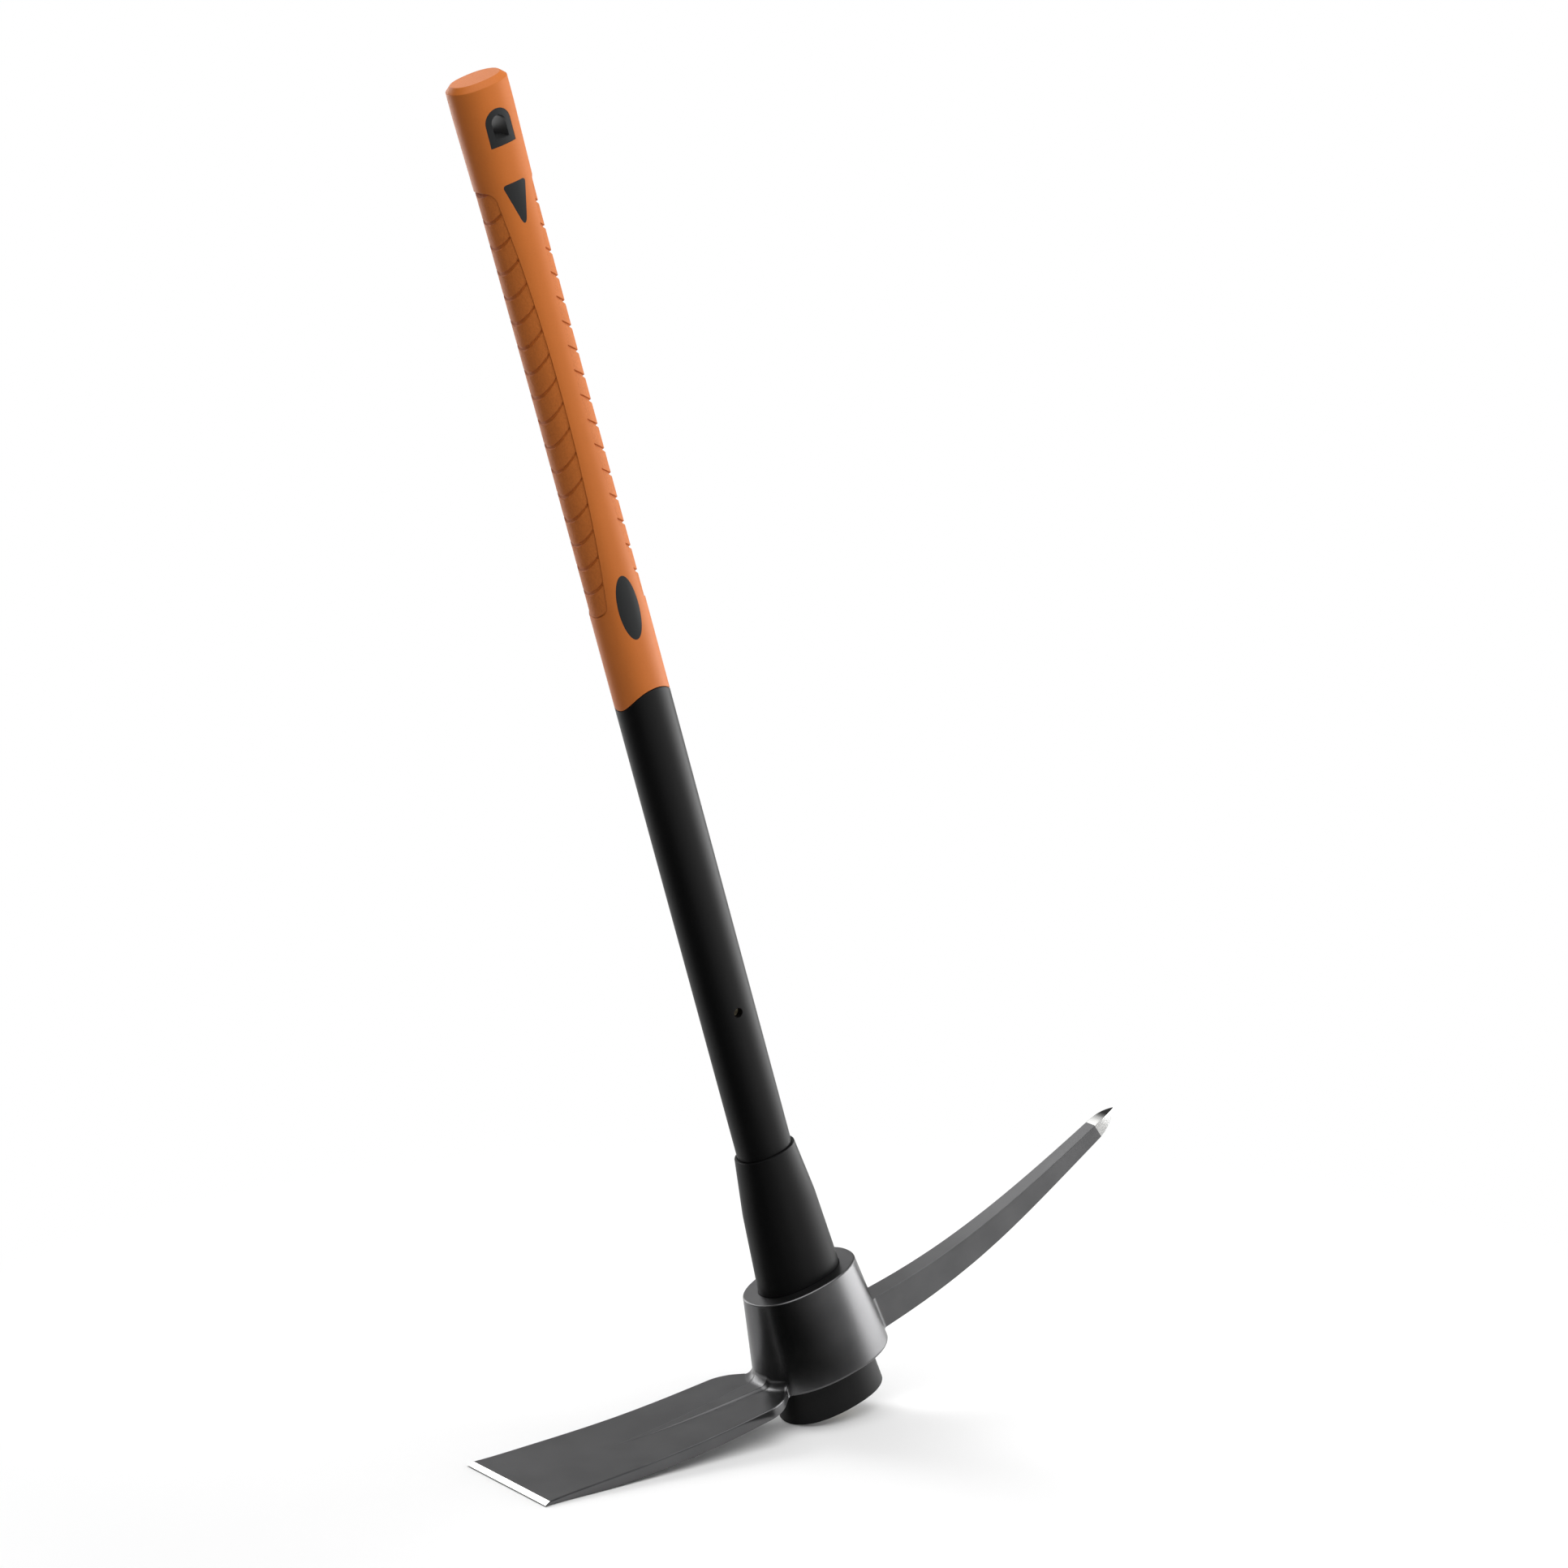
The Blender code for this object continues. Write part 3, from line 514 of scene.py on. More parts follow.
class Nodes(Graph):
    """Nodes of one material, round its shader."""

    def __init__(self, name: str) -> None:
        """Start a material with its shader alone."""
        self.material = bpy.data.materials.new(name)
        self.material.use_nodes = True
        super().__init__(self.material.node_tree)
        self.shader = self.tree.nodes["Principled BSDF"]
        self.place = self.add("ShaderNodeTexCoord").outputs["Object"]

    def noise(self, scale: float, detail: float = 3.0, roughness: float = 0.5,
              stretch: Colour = (1.0, 1.0, 1.0)) -> Socket:
        """Give a noise that is drawn out along the leaning tool's axes.

        Args:
            scale: Spots in a metre.
            detail: Number of finer layers.
            roughness: Strength of the finer layers.
            stretch: How far the spots are drawn out along each axis.

        Returns:
            The noise's value.
        """
        turned = self.add("ShaderNodeMapping", {"Vector": self.place}, vector_type="TEXTURE",
                          Rotation=(0.0, -LEAN, 0.0), Scale=stretch)
        node = self.add("ShaderNodeTexNoise", {"Vector": turned.outputs[0]}, Scale=scale,
                        Detail=detail, Roughness=roughness)
        return node.outputs["Fac"]

    def ranged(self, socket: Socket, low: float, high: float, to_low: float = 0.0,
               to_high: float = 1.0) -> Socket:
        """Map a value from one range to another, held at its ends.

        Args:
            socket: The value.
            low: Value that gives to_low.
            high: Value that gives to_high.
            to_low: Lowest result.
            to_high: Highest result.

        Returns:
            The mapped value.
        """
        node = self.add("ShaderNodeMapRange", {"Value": socket}, clamp=True, From_Min=low,
                        From_Max=high, To_Min=to_low, To_Max=to_high)
        return node.outputs["Result"]

    def mixed(self, share: Socket, first: Colour | Socket, second: Colour) -> Socket:
        """Mix a colour, or a socket that gives one, with a second colour.

        Args:
            share: Share of the second colour.
            first: The first colour or its socket.
            second: The second colour.

        Returns:
            The mixed colour.
        """
        node = self.add("ShaderNodeMix", {0: share}, data_type="RGBA")
        if isinstance(first, tuple):
            node.inputs[6].default_value = (*first, 1.0)
        else:
            self.tree.links.new(first, node.inputs[6])
        node.inputs[7].default_value = (*second, 1.0)
        return node.outputs[2]

    def finish(self, colour: Socket, roughness: Socket, bumps: tuple[tuple[Socket, float], ...],
               **values: float) -> Finish:
        """Join everything to the shader.

        Args:
            colour: Base colour.
            roughness: Roughness.
            bumps: Heights that raise the surface one after the other, and their size in mm.
            **values: Inputs of the shader that are the same all over.

        Returns:
            The material.
        """
        links = {}
        for height, size in bumps:
            bump = self.add("ShaderNodeBump", {"Height": height, **links}, Strength=1.0,
                            Distance=size * MM)
            links = {"Normal": bump.outputs[0]}
        for name, socket in {"Base Color": colour, "Roughness": roughness, **links}.items():
            self.tree.links.new(socket, self.shader.inputs[name])
        self.fix(**values)
        return self.material

    def fix(self, **values: object) -> None:
        """Set inputs of the shader that are the same all over."""
        for key, value in values.items():
            self.shader.inputs[key.replace("_", " ")].default_value = value


@dataclass(frozen=True)
class SoftRubber:
    """Satin orange rubber, smooth or grained."""

    name: str
    colour: Colour = (0.540, 0.148, 0.024)
    worn: Colour = (0.590, 0.175, 0.036)
    cloudy: float = 0.955
    roughness: float = 0.50
    grain: float = 0.02
    grain_scale: float = 900.0
    speckle: float = 0.03
    scuffed: float = 0.5
    specular: float = 0.20

    def make(self) -> Finish:
        """Build the material."""
        nodes = Nodes(self.name)
        cloud = nodes.noise(22.0, 4.0)
        fine = nodes.noise(self.grain_scale, 3.0, 0.6)
        tint = nodes.mixed(nodes.ranged(cloud, 0.3, 0.7),
                           tuple(self.cloudy * part for part in self.colour), self.colour)
        tint = nodes.mixed(nodes.ranged(fine, 0.35, 0.7, 0.0, 8.0 * self.speckle), tint,
                           tuple((1.0 - 5.0 * self.speckle) * part for part in self.colour))
        scuff = nodes.ranged(nodes.noise(140.0, 6.0, 0.7, (1.0, 1.0, 3.0)), 0.62, 0.78, 0.0,
                             self.scuffed)
        rough = nodes.ranged(fine, 0.2, 0.8, self.roughness - 0.05, self.roughness + 0.07)
        return nodes.finish(nodes.mixed(scuff, tint, self.worn), rough,
                            ((fine, self.grain), (nodes.noise(260.0, 2.0), 0.012)),
                            Metallic=0.0, Specular_IOR_Level=self.specular)


@dataclass(frozen=True)
class SatinPlastic:
    """Black moulded plastic with a fine satin skin."""

    name: str
    colour: Colour = (0.0040, 0.0040, 0.0042)
    dusty: Colour = (0.0055, 0.0055, 0.0056)
    roughness: float = 0.44
    grain: float = 0.008
    specular: float = 0.14

    def make(self) -> Finish:
        """Build the material."""
        nodes = Nodes(self.name)
        streaks = nodes.noise(60.0, 4.0, 0.55, (1.0, 1.0, 12.0))
        fine = nodes.noise(1400.0, 2.0)
        return nodes.finish(
            nodes.mixed(nodes.ranged(streaks, 0.4, 0.75), self.colour, self.dusty),
            nodes.ranged(streaks, 0.2, 0.8, self.roughness - 0.05, self.roughness + 0.06),
            ((fine, self.grain), (nodes.noise(90.0, 2.0), 0.01)),
            Metallic=0.0, Specular_IOR_Level=self.specular)


@dataclass(frozen=True)
class GlassFibre:
    """Pultruded glass fibre rod: straw coloured strands in resin."""

    name: str = "glass_fibre_rod"
    resin: Colour = (0.520, 0.450, 0.280)
    strand: Colour = (0.640, 0.590, 0.430)
    relief: float = 0.03

    def make(self) -> Finish:
        """Build the material."""
        nodes = Nodes(self.name)
        strands = nodes.noise(1600.0, 3.0, 0.6, (1.0, 1.0, 60.0))
        return nodes.finish(
            nodes.mixed(nodes.ranged(strands, 0.35, 0.65), self.resin, self.strand),
            nodes.ranged(strands, 0.3, 0.7, 0.48, 0.66), ((strands, self.relief),), Metallic=0.0)


@dataclass(frozen=True)
class CoatedSteel:
    """Forged steel under a thin dark satin coating with a very fine tooth."""

    name: str = "dark_coated_steel"
    colour: Colour = (0.100, 0.100, 0.102)
    thin: Colour = (0.120, 0.120, 0.122)
    tooth: float = 0.010
    hammered: float = 0.06

    def make(self) -> Finish:
        """Build the material."""
        nodes = Nodes(self.name)
        tooth = nodes.noise(1500.0, 2.0, 0.6)
        forged = nodes.noise(38.0, 4.0, 0.55)
        return nodes.finish(
            nodes.mixed(nodes.ranged(forged, 0.35, 0.75), self.colour, self.thin),
            nodes.ranged(forged, 0.25, 0.75, 0.30, 0.36),
            ((tooth, self.tooth), (forged, self.hammered)), Metallic=1.0)


@dataclass(frozen=True)
class GroundSteel:
    """Bare steel with fine grinding lines across the working end; on request a painted dark
    reflection darkens it along X.
    """

    name: str = "bright_ground_steel"
    colour: Colour = (0.52, 0.52, 0.51)
    dull: Colour = (0.475, 0.475, 0.465)
    # The next three values paint a dark reflection: its colour, and where along X it starts and is
    # full.
    painted_dark_reflection: Colour = (0.030, 0.030, 0.031)
    painted_dark_from: float = 1.0
    painted_dark_to: float = 2.0
    relief: float = 0.002

    def make(self) -> Finish:
        """Build the material."""
        nodes = Nodes(self.name)
        lines = nodes.noise(900.0, 3.0, 0.6, (1.0, 25.0, 1.0))
        bare = nodes.mixed(nodes.ranged(lines, 0.35, 0.7), self.colour, self.dull)
        # Painted dark reflection, growing along X towards the point.
        along_x = nodes.add("ShaderNodeSeparateXYZ", {"Vector": nodes.place}).outputs["X"]
        painted_dark_share = nodes.ranged(along_x, self.painted_dark_from, self.painted_dark_to)
        return nodes.finish(nodes.mixed(painted_dark_share, bare, self.painted_dark_reflection),
                            nodes.ranged(lines, 0.3, 0.7, 0.16, 0.26), ((lines, self.relief),),
                            Metallic=1.0)


# Handle

@dataclass
class HandleForm:
    """Outer form of the handle that grip, pads, inlays and liner share."""

    length: float = 914.0
    seam: float = 507.5
    wave: float = 4.5
    shaft_long: float = 18.7
    shaft_wide: float = 13.8
    waist_long: float = 18.4
    waist_wide: float = 13.5
    butt_long: float = 19.8
    butt_wide: float = 14.6
    chamfer: float = 3.4
    first_from_seam: float = 52.5
    waist_from_end: float = 214.0
    swell_from_end: float = 74.0
    butt_from_end: float = 19.0
    tenon_wall: float = 3.2
    rod_top: float = 864.0

    def stations(self) -> list[tuple[float, float, float]]:
        """Half widths and heights of the outside from the seam to the butt's chamfer."""
        shaft, waist, butt = ((self.shaft_long, self.shaft_wide),
                              (self.waist_long, self.waist_wide), (self.butt_long, self.butt_wide))
        return [(*shaft, self.seam), (*shaft, self.seam + self.first_from_seam),
                (*waist, self.length - self.waist_from_end),
                (*shaft, self.length - self.swell_from_end),
                (*butt, self.length - self.butt_from_end), (*butt, self.length - self.chamfer)]

    def size(self, height: float) -> Plan:
        """Half widths of the outside at a height."""
        stops = self.stations()
        return (along([(stop[2], stop[0]) for stop in stops], height),
                along([(stop[2], stop[1]) for stop in stops], height))

    def tenon(self) -> Plan:
        """Half widths of the tenon inside the grip."""
        return self.waist_long - self.tenon_wall, self.waist_wide - self.tenon_wall

    def solid(self, inset: float) -> Piece:
        """Make the whole outer form, drawn in by an inset, to trim other pieces against."""
        stops = self.stations() + [(self.butt_long - self.chamfer, self.butt_wide - self.chamfer,
                                    self.length)]
        return Bench.ovals("handle_form", [(long - inset, wide - inset, height)
                                           for long, wide, height in stops])


@dataclass
class Shaft:
    """Black jacket of the bare shaft, with its tenon and its two small locating holes."""

    form: HandleForm
    finish: Finish
    core_long: float = 12.5
    core_wide: float = 8.5
    end_wall: float = 4.0
    straight_to: float = 200.0
    hole_height: float = 286.0
    hole_diameter: float = 6.3
    hole_sides: int = 48
    hole_bevel: float = 0.25
    edge: float = 0.35
    tenon_bevel: float = 1.0

    def build(self) -> None:
        """Model and dress the jacket."""
        form, edge, bevel = self.form, self.edge, self.tenon_bevel
        long, wide = form.shaft_long, form.shaft_wide
        tenon_long, tenon_wide = form.tenon()
        bore_long, bore_wide = self.core_long + GAP, self.core_wide + GAP
        seam = form.seam - GAP
        jacket = Bench.ovals("jacket", [
            (bore_long, bore_wide, form.rod_top - self.end_wall + GAP),
            (bore_long, bore_wide, 0.0),
            (long - edge, wide - edge, 0.0),
            (long, wide, edge),
            (long, wide, self.straight_to),
            *edge_rings(long, wide, seam, edge, form.wave),
            (tenon_long, tenon_wide, seam, form.wave),
            (tenon_long, tenon_wide, form.rod_top - bevel),
            (tenon_long - bevel, tenon_wide - bevel, form.rod_top),
        ])
        wall_middle = (wide + bore_wide) / 2.0
        for side in (-1.0, 1.0):
            Bench.clear()
            bpy.ops.mesh.primitive_cylinder_add(
                vertices=self.hole_sides, radius=self.hole_diameter / 2.0,
                depth=2.0 * (wide - bore_wide), rotation=(math.pi / 2.0, 0.0, 0.0),
                location=(0.0, side * wall_middle, self.hole_height))
            Bench.combine(jacket, bpy.context.active_object, Cut.TAKE_AWAY)

        def on_rim(*ends: Vector) -> bool:
            """Tell whether an edge lies on the outer rim of a hole."""
            return all(abs(end.z - self.hole_height) < self.hole_diameter
                       and abs(end.y) > wall_middle for end in ends)

        Bench.bevel(jacket, on_rim, self.hole_bevel)
        Bench.hand_over(jacket, Body.HANDLE, "shaft_jacket", Slot.BLACK, self.finish)


@dataclass
class SidePads:
    """Two grained pads with slanted grooves, let into the narrow sides of the grip."""

    form: HandleForm
    finish: Finish
    reach: float = 12.3
    corner_reach: float = 4.8
    corner: float = 7.0
    bottom_from_seam: float = 58.5
    top_from_end: float = 66.0
    arch_steps: int = 28
    depth: float = 2.4
    drop: float = 0.55
    pitch: float = 16.3
    first: float = 583.0
    count: int = 16
    groove_depth: float = 1.3
    groove_half: float = 1.6
    slope: float = math.radians(42.0)
    full_from: float = 7.0
    full_to: float = 18.0
    inner_width: float = 0.62
    inner_depth: float = 0.75
    profile: tuple[Plan, ...] = ((-1.0, 0.0), (-0.93, 0.05), (-0.82, 0.32), (-0.70, 0.60),
                                 (-0.50, 0.76), (-0.1, 0.9), (0.30, 1.0), (0.50, 0.93),
                                 (0.62, 0.5), (0.72, 0.10), (0.84, 0.0), (3.0, 0.0))

    def outline(self, clearance: float, side: float) -> list[Plan]:
        """Draw a pad's outline from the front, open past the outside of the handle.

        Args:
            clearance: Distance by which the outline is larger than the pad.
            side: 1 for the pick's side, -1 for the blade's.

        Returns:
            The outline in X-Z.
        """
        form = self.form
        outside = form.shaft_long + CUT_MARGIN
        middle_x = form.shaft_long - self.reach - clearance
        end_x = form.shaft_long - self.corner_reach - clearance
        bottom = form.seam + self.bottom_from_seam - clearance
        top = form.length - self.top_from_end + clearance
        arch = []
        for step in range(1, self.arch_steps):
            share = 2.0 * step / self.arch_steps - 1.0
            arch.append((middle_x + (end_x - middle_x) * share ** 2,
                         (bottom + top + share * (top - bottom)) / 2.0))
        low = rounded((end_x, bottom), (outside, bottom), arch[0], self.corner)
        high = rounded((end_x, top), arch[-1], (outside, top), self.corner)
        points = [(outside, bottom)] + low + arch + high + [(outside, top)]
        return [(side * x, z) for x, z in points]

    def grooved_form(self) -> Piece:
        """Model the handle's outside with the blade side's grooves, before it is cut to a pad."""
        levels = [(self.first - self.pitch, 0.0, 0.0)]
        for index in range(self.count):
            middle = self.first + self.pitch * index
            levels += [(middle, share, sunk) for share, sunk in self.profile]
        levels.append((self.first + self.pitch * self.count, 0.0, 0.0))

        def place(ring: int, number: int) -> Vector:
            """Place a point of a ring, slanted up the pad and sunk into a groove."""
            turn = 2.0 * math.pi * number / OVAL_SIDES
            middle, share, sunk = levels[ring]
            flat = oval_point(turn, self.form.waist_long, self.form.waist_wide, 0.0)
            full = held_share(-flat.x, self.full_from, self.full_to)
            width = self.inner_width + (1.0 - self.inner_width) * full
            depth = self.inner_depth + (1.0 - self.inner_depth) * full
            height = (middle + share * self.groove_half * width
                      + (flat.x + self.form.waist_long) * math.tan(self.slope))
            long, wide = self.form.size(height)
            inset = self.drop + self.groove_depth * sunk * depth
            return oval_point(turn, long - inset, wide - inset, height)

        return Bench.ring_stack("grooved_form", OVAL_SIDES, len(levels), place)

    def build(self, grip: Piece) -> None:
        """Model and dress both pads, and cut their pockets.

        Args:
            grip: The grip that they are let into.
        """
        seat, back = self.form.solid(self.depth + GAP), self.form.solid(self.depth)
        pad = self.grooved_form()
        Bench.combine(pad, Bench.prism(self.outline(0.0, -1.0)), Cut.KEEP_COMMON)
        Bench.combine(pad, back, Cut.TAKE_AWAY)
        for side in (-1.0, 1.0):
            pocket = Bench.prism(self.outline(SEAT_GAP, side))
            Bench.combine(pocket, seat, Cut.TAKE_AWAY, keep=side < 0.0)
            Bench.combine(grip, pocket, Cut.TAKE_AWAY)
        twin = Bench.mirrored(pad, "X")
        for piece, node in ((pad, "grip_pad_blade_side"), (twin, "grip_pad_pick_side")):
            Bench.hand_over(piece, Body.HANDLE, node, Slot.GRAINED, self.finish)


@dataclass
class Inlays:
    """Black triangles and ovals in the grip, and the D shaped liner of the hang hole."""

    form: HandleForm
    finish: Finish
    depth: float = 2.0
    middle_kept: float = 7.0
    triangle_from_end: float = 64.8
    triangle_height: float = 30.9
    triangle_width: float = 16.8
    triangle_round: float = 2.7
    tip_round: float = 8.2
    badge_from_seam: float = 60.5
    badge_height: float = 42.8
    badge_width: float = 15.0
    badge_steps: int = 72
    liner_from_end: float = 40.8
    liner_height: float = 23.0
    liner_width: float = 17.8
    liner_wall: float = 4.1
    liner_drop: float = 0.15
    liner_steps: int = 32

    def triangle(self, clearance: float) -> list[Plan]:
        """Draw the rounded triangle that points down.

        Args:
            clearance: Distance by which the outline is larger than the inlay.

        Returns:
            The outline in X-Z.
        """
        top = self.form.length - self.triangle_from_end
        half = self.triangle_width / 2.0 + clearance
        corners = [(-half, top + clearance), (half, top + clearance),
                   (0.0, top - self.triangle_height - clearance)]
        points = []
        for index, reach in enumerate((self.triangle_round, self.triangle_round, self.tip_round)):
            points += rounded(corners[index], corners[index - 1], corners[(index + 1) % 3], reach)
        return points

    def badge(self, clearance: float) -> list[Plan]:
        """Draw the upright ellipse.

        Args:
            clearance: Distance by which the outline is larger than the inlay.

        Returns:
            The outline in X-Z.
        """
        middle = self.form.seam + self.badge_from_seam
        half_width = self.badge_width / 2.0 + clearance
        half_height = self.badge_height / 2.0 + clearance
        turns = [2.0 * math.pi * (step + 0.5) / self.badge_steps
                 for step in range(self.badge_steps)]
        return [(half_width * math.cos(turn), middle + half_height * math.sin(turn))
                for turn in turns]

    def letter_d(self, inset: float) -> list[Plan]:
        """Draw the D with its round end up.

        Args:
            inset: Distance by which the outline is smaller than the liner.

        Returns:
            The outline in X-Z.
        """
        half = self.liner_width / 2.0 - inset
        bottom = self.form.length - self.liner_from_end
        centre = bottom + self.liner_height - self.liner_width / 2.0
        arch = [math.pi * step / self.liner_steps for step in range(self.liner_steps + 1)]
        return [(-half, bottom + inset), (half, bottom + inset)] + [
            (half * math.cos(turn), centre + half * math.sin(turn)) for turn in arch]

    def build(self, grip: Piece) -> None:
        """Model and dress the inlays and the liner, and cut their seats.

        Args:
            grip: The grip that they are let into.
        """
        seat, back = self.form.solid(self.depth + GAP), self.form.solid(self.depth)
        front, rear = (-CUT_REACH, -self.middle_kept), (self.middle_kept, CUT_REACH)
        for name, outline in (("triangle_inlay", self.triangle), ("oval_badge", self.badge)):
            for reach in (front, rear):
                pocket = Bench.prism(outline(SEAT_GAP), *reach)
                Bench.combine(pocket, seat, Cut.TAKE_AWAY, keep=True)
                Bench.combine(grip, pocket, Cut.TAKE_AWAY)
            inlay = self.form.solid(0.0)
            Bench.combine(inlay, Bench.prism(outline(0.0), *front), Cut.KEEP_COMMON)
            Bench.combine(inlay, back, Cut.TAKE_AWAY, keep=True)
            twin = Bench.mirrored(inlay, "Y")
            for piece, node in ((inlay, f"{name}_front"), (twin, f"{name}_back")):
                Bench.hand_over(piece, Body.HANDLE, node, Slot.INLAY, self.finish)
        for used in (seat, back):
            bpy.data.objects.remove(used, do_unlink=True)
        Bench.combine(grip, Bench.prism(self.letter_d(-SEAT_GAP)), Cut.TAKE_AWAY)
        liner = self.form.solid(self.liner_drop)
        Bench.combine(liner, Bench.prism(self.letter_d(0.0)), Cut.KEEP_COMMON)
        Bench.combine(liner, Bench.prism(self.letter_d(self.liner_wall)), Cut.TAKE_AWAY)
        Bench.hand_over(liner, Body.HANDLE, "hang_hole_liner", Slot.INLAY, self.finish)


@dataclass
class Grip:
    """Orange grip moulded over the tenon, closed and chamfered at the butt."""

    form: HandleForm
    finish: Finish
    edge: float = 0.45
    butt_round: float = 0.5
    rim_round: float = 0.28
    first_ring: float = 12.0
    neck_ring: float = 120.0
    rims_from: float = 20.0
    rims_to: float = 12.0
    near_outside: float = 0.985

    def model(self) -> Piece:
        """Model the grip before its pockets are cut."""
        form, soft = self.form, self.butt_round
        cavity_long, cavity_wide = (size + GAP for size in form.tenon())
        rings = [(cavity_long, cavity_wide, form.rod_top + GAP),
                 (cavity_long, cavity_wide, form.seam, form.wave)]
        rings += edge_rings(form.shaft_long, form.shaft_wide, form.seam, -self.edge,
                            form.wave)[::-1]
        heights = [stop[2] for stop in form.stations()[1:-1]]
        heights += [form.seam + self.first_ring, form.length - self.neck_ring]
        rings += [(*form.size(height), height) for height in sorted(heights)]
        butt = ((0.0, form.chamfer + soft), (0.1 * soft, form.chamfer + 0.35 * soft),
                (0.35 * soft, form.chamfer - 0.35 * soft), (form.chamfer - 0.7 * soft, 0.7 * soft),
                (form.chamfer - 0.1 * soft, 0.15 * soft), (form.chamfer + 0.8 * soft, 0.0))
        rings += [(form.butt_long - inset, form.butt_wide - inset, form.length - below)
                  for inset, below in butt]
        return Bench.ovals("grip", rings)

    def dress(self, grip: Piece) -> None:
        """Round the rims of the pockets where they break the outside, and dress the grip.

        Args:
            grip: The grip with all its pockets cut.
        """
        low, high = self.form.seam + self.rims_from, self.form.length - self.rims_to

        def on_rim(*ends: Vector) -> bool:
            """Tell whether an edge lies on the outside of the grip."""
            return all(low < end.z < high and oval_value(end.x, end.y, *self.form.size(end.z))
                       >= self.near_outside for end in ends)

        Bench.bevel(grip, on_rim, self.rim_round)
        Bench.hand_over(grip, Body.HANDLE, "grip_overmold", Slot.ORANGE, self.finish)


# Sleeve and head

@dataclass
class Taper:
    """A tapered oval between the collar's bottom and top, such as the eye or its outside."""

    bottom_long: float
    bottom_wide: float
    top_long: float
    top_wide: float
    bottom: float = 27.3
    top: float = 90.4
    least_offset: float = -15.0
    most_offset: float = 80.0

    def size(self, height: float) -> Plan:
        """Half widths at a height."""
        share = (height - self.bottom) / (self.top - self.bottom)
        return (self.bottom_long + (self.top_long - self.bottom_long) * share,
                self.bottom_wide + (self.top_wide - self.bottom_wide) * share)

    def wall_x(self, y: float, height: float, offset: float) -> float:
        """Give the distance of the wall from the axis along X.

        Args:
            y: Place along Y.
            height: Height.
            offset: Distance by which the wall is moved out.

        Returns:
            The distance.
        """
        long, wide = self.size(height)
        inner = 1.0 - min(abs(y) / (wide + offset), 1.0) ** OVAL_POWER
        return (long + offset) * inner ** (1.0 / OVAL_POWER)

    def offset_of(self, x: float, y: float, height: float) -> float:
        """Distance by which the wall has to move out to pass through a point."""
        long, wide = self.size(height)
        return halved(self.least_offset, self.most_offset,
                      lambda offset: oval_value(x, y, long + offset, wide + offset) <= 1.0)[0]


@dataclass
class Sleeve:
    """Black sleeve between shaft and eye: thin rim, taper, and a flared foot."""

    form: HandleForm
    seat: Taper
    finish: Finish
    top: float = 184.0
    rim_long: float = 20.7
    rim_wide: float = 15.4
    crease: float = 145.0
    crease_long: float = 25.6
    crease_wide: float = 17.2
    foot_long: float = 36.92
    foot_wide: float = 25.0
    foot_bevel: float = 1.0
    rim_round: float = 0.55

    def build(self) -> None:
        """Model and dress the sleeve."""
        bore_long, bore_wide = self.form.shaft_long + GAP, self.form.shaft_wide + GAP
        rings = [(bore_long, bore_wide, self.top), (bore_long, bore_wide, 0.0)]
        rings += edge_rings(self.foot_long, self.foot_wide, 0.0, -self.foot_bevel)[::-1]
        rings += [(*self.seat.size(height), height) for height in (self.seat.bottom, self.seat.top)]
        rings.append((self.crease_long, self.crease_wide, self.crease))
        rings += edge_rings(self.rim_long, self.rim_wide, self.top, self.rim_round)
        sleeve = Bench.ovals("sleeve", rings, closed=True)
        Bench.hand_over(sleeve, Body.HANDLE, "eye_sleeve", Slot.BLACK, self.finish)


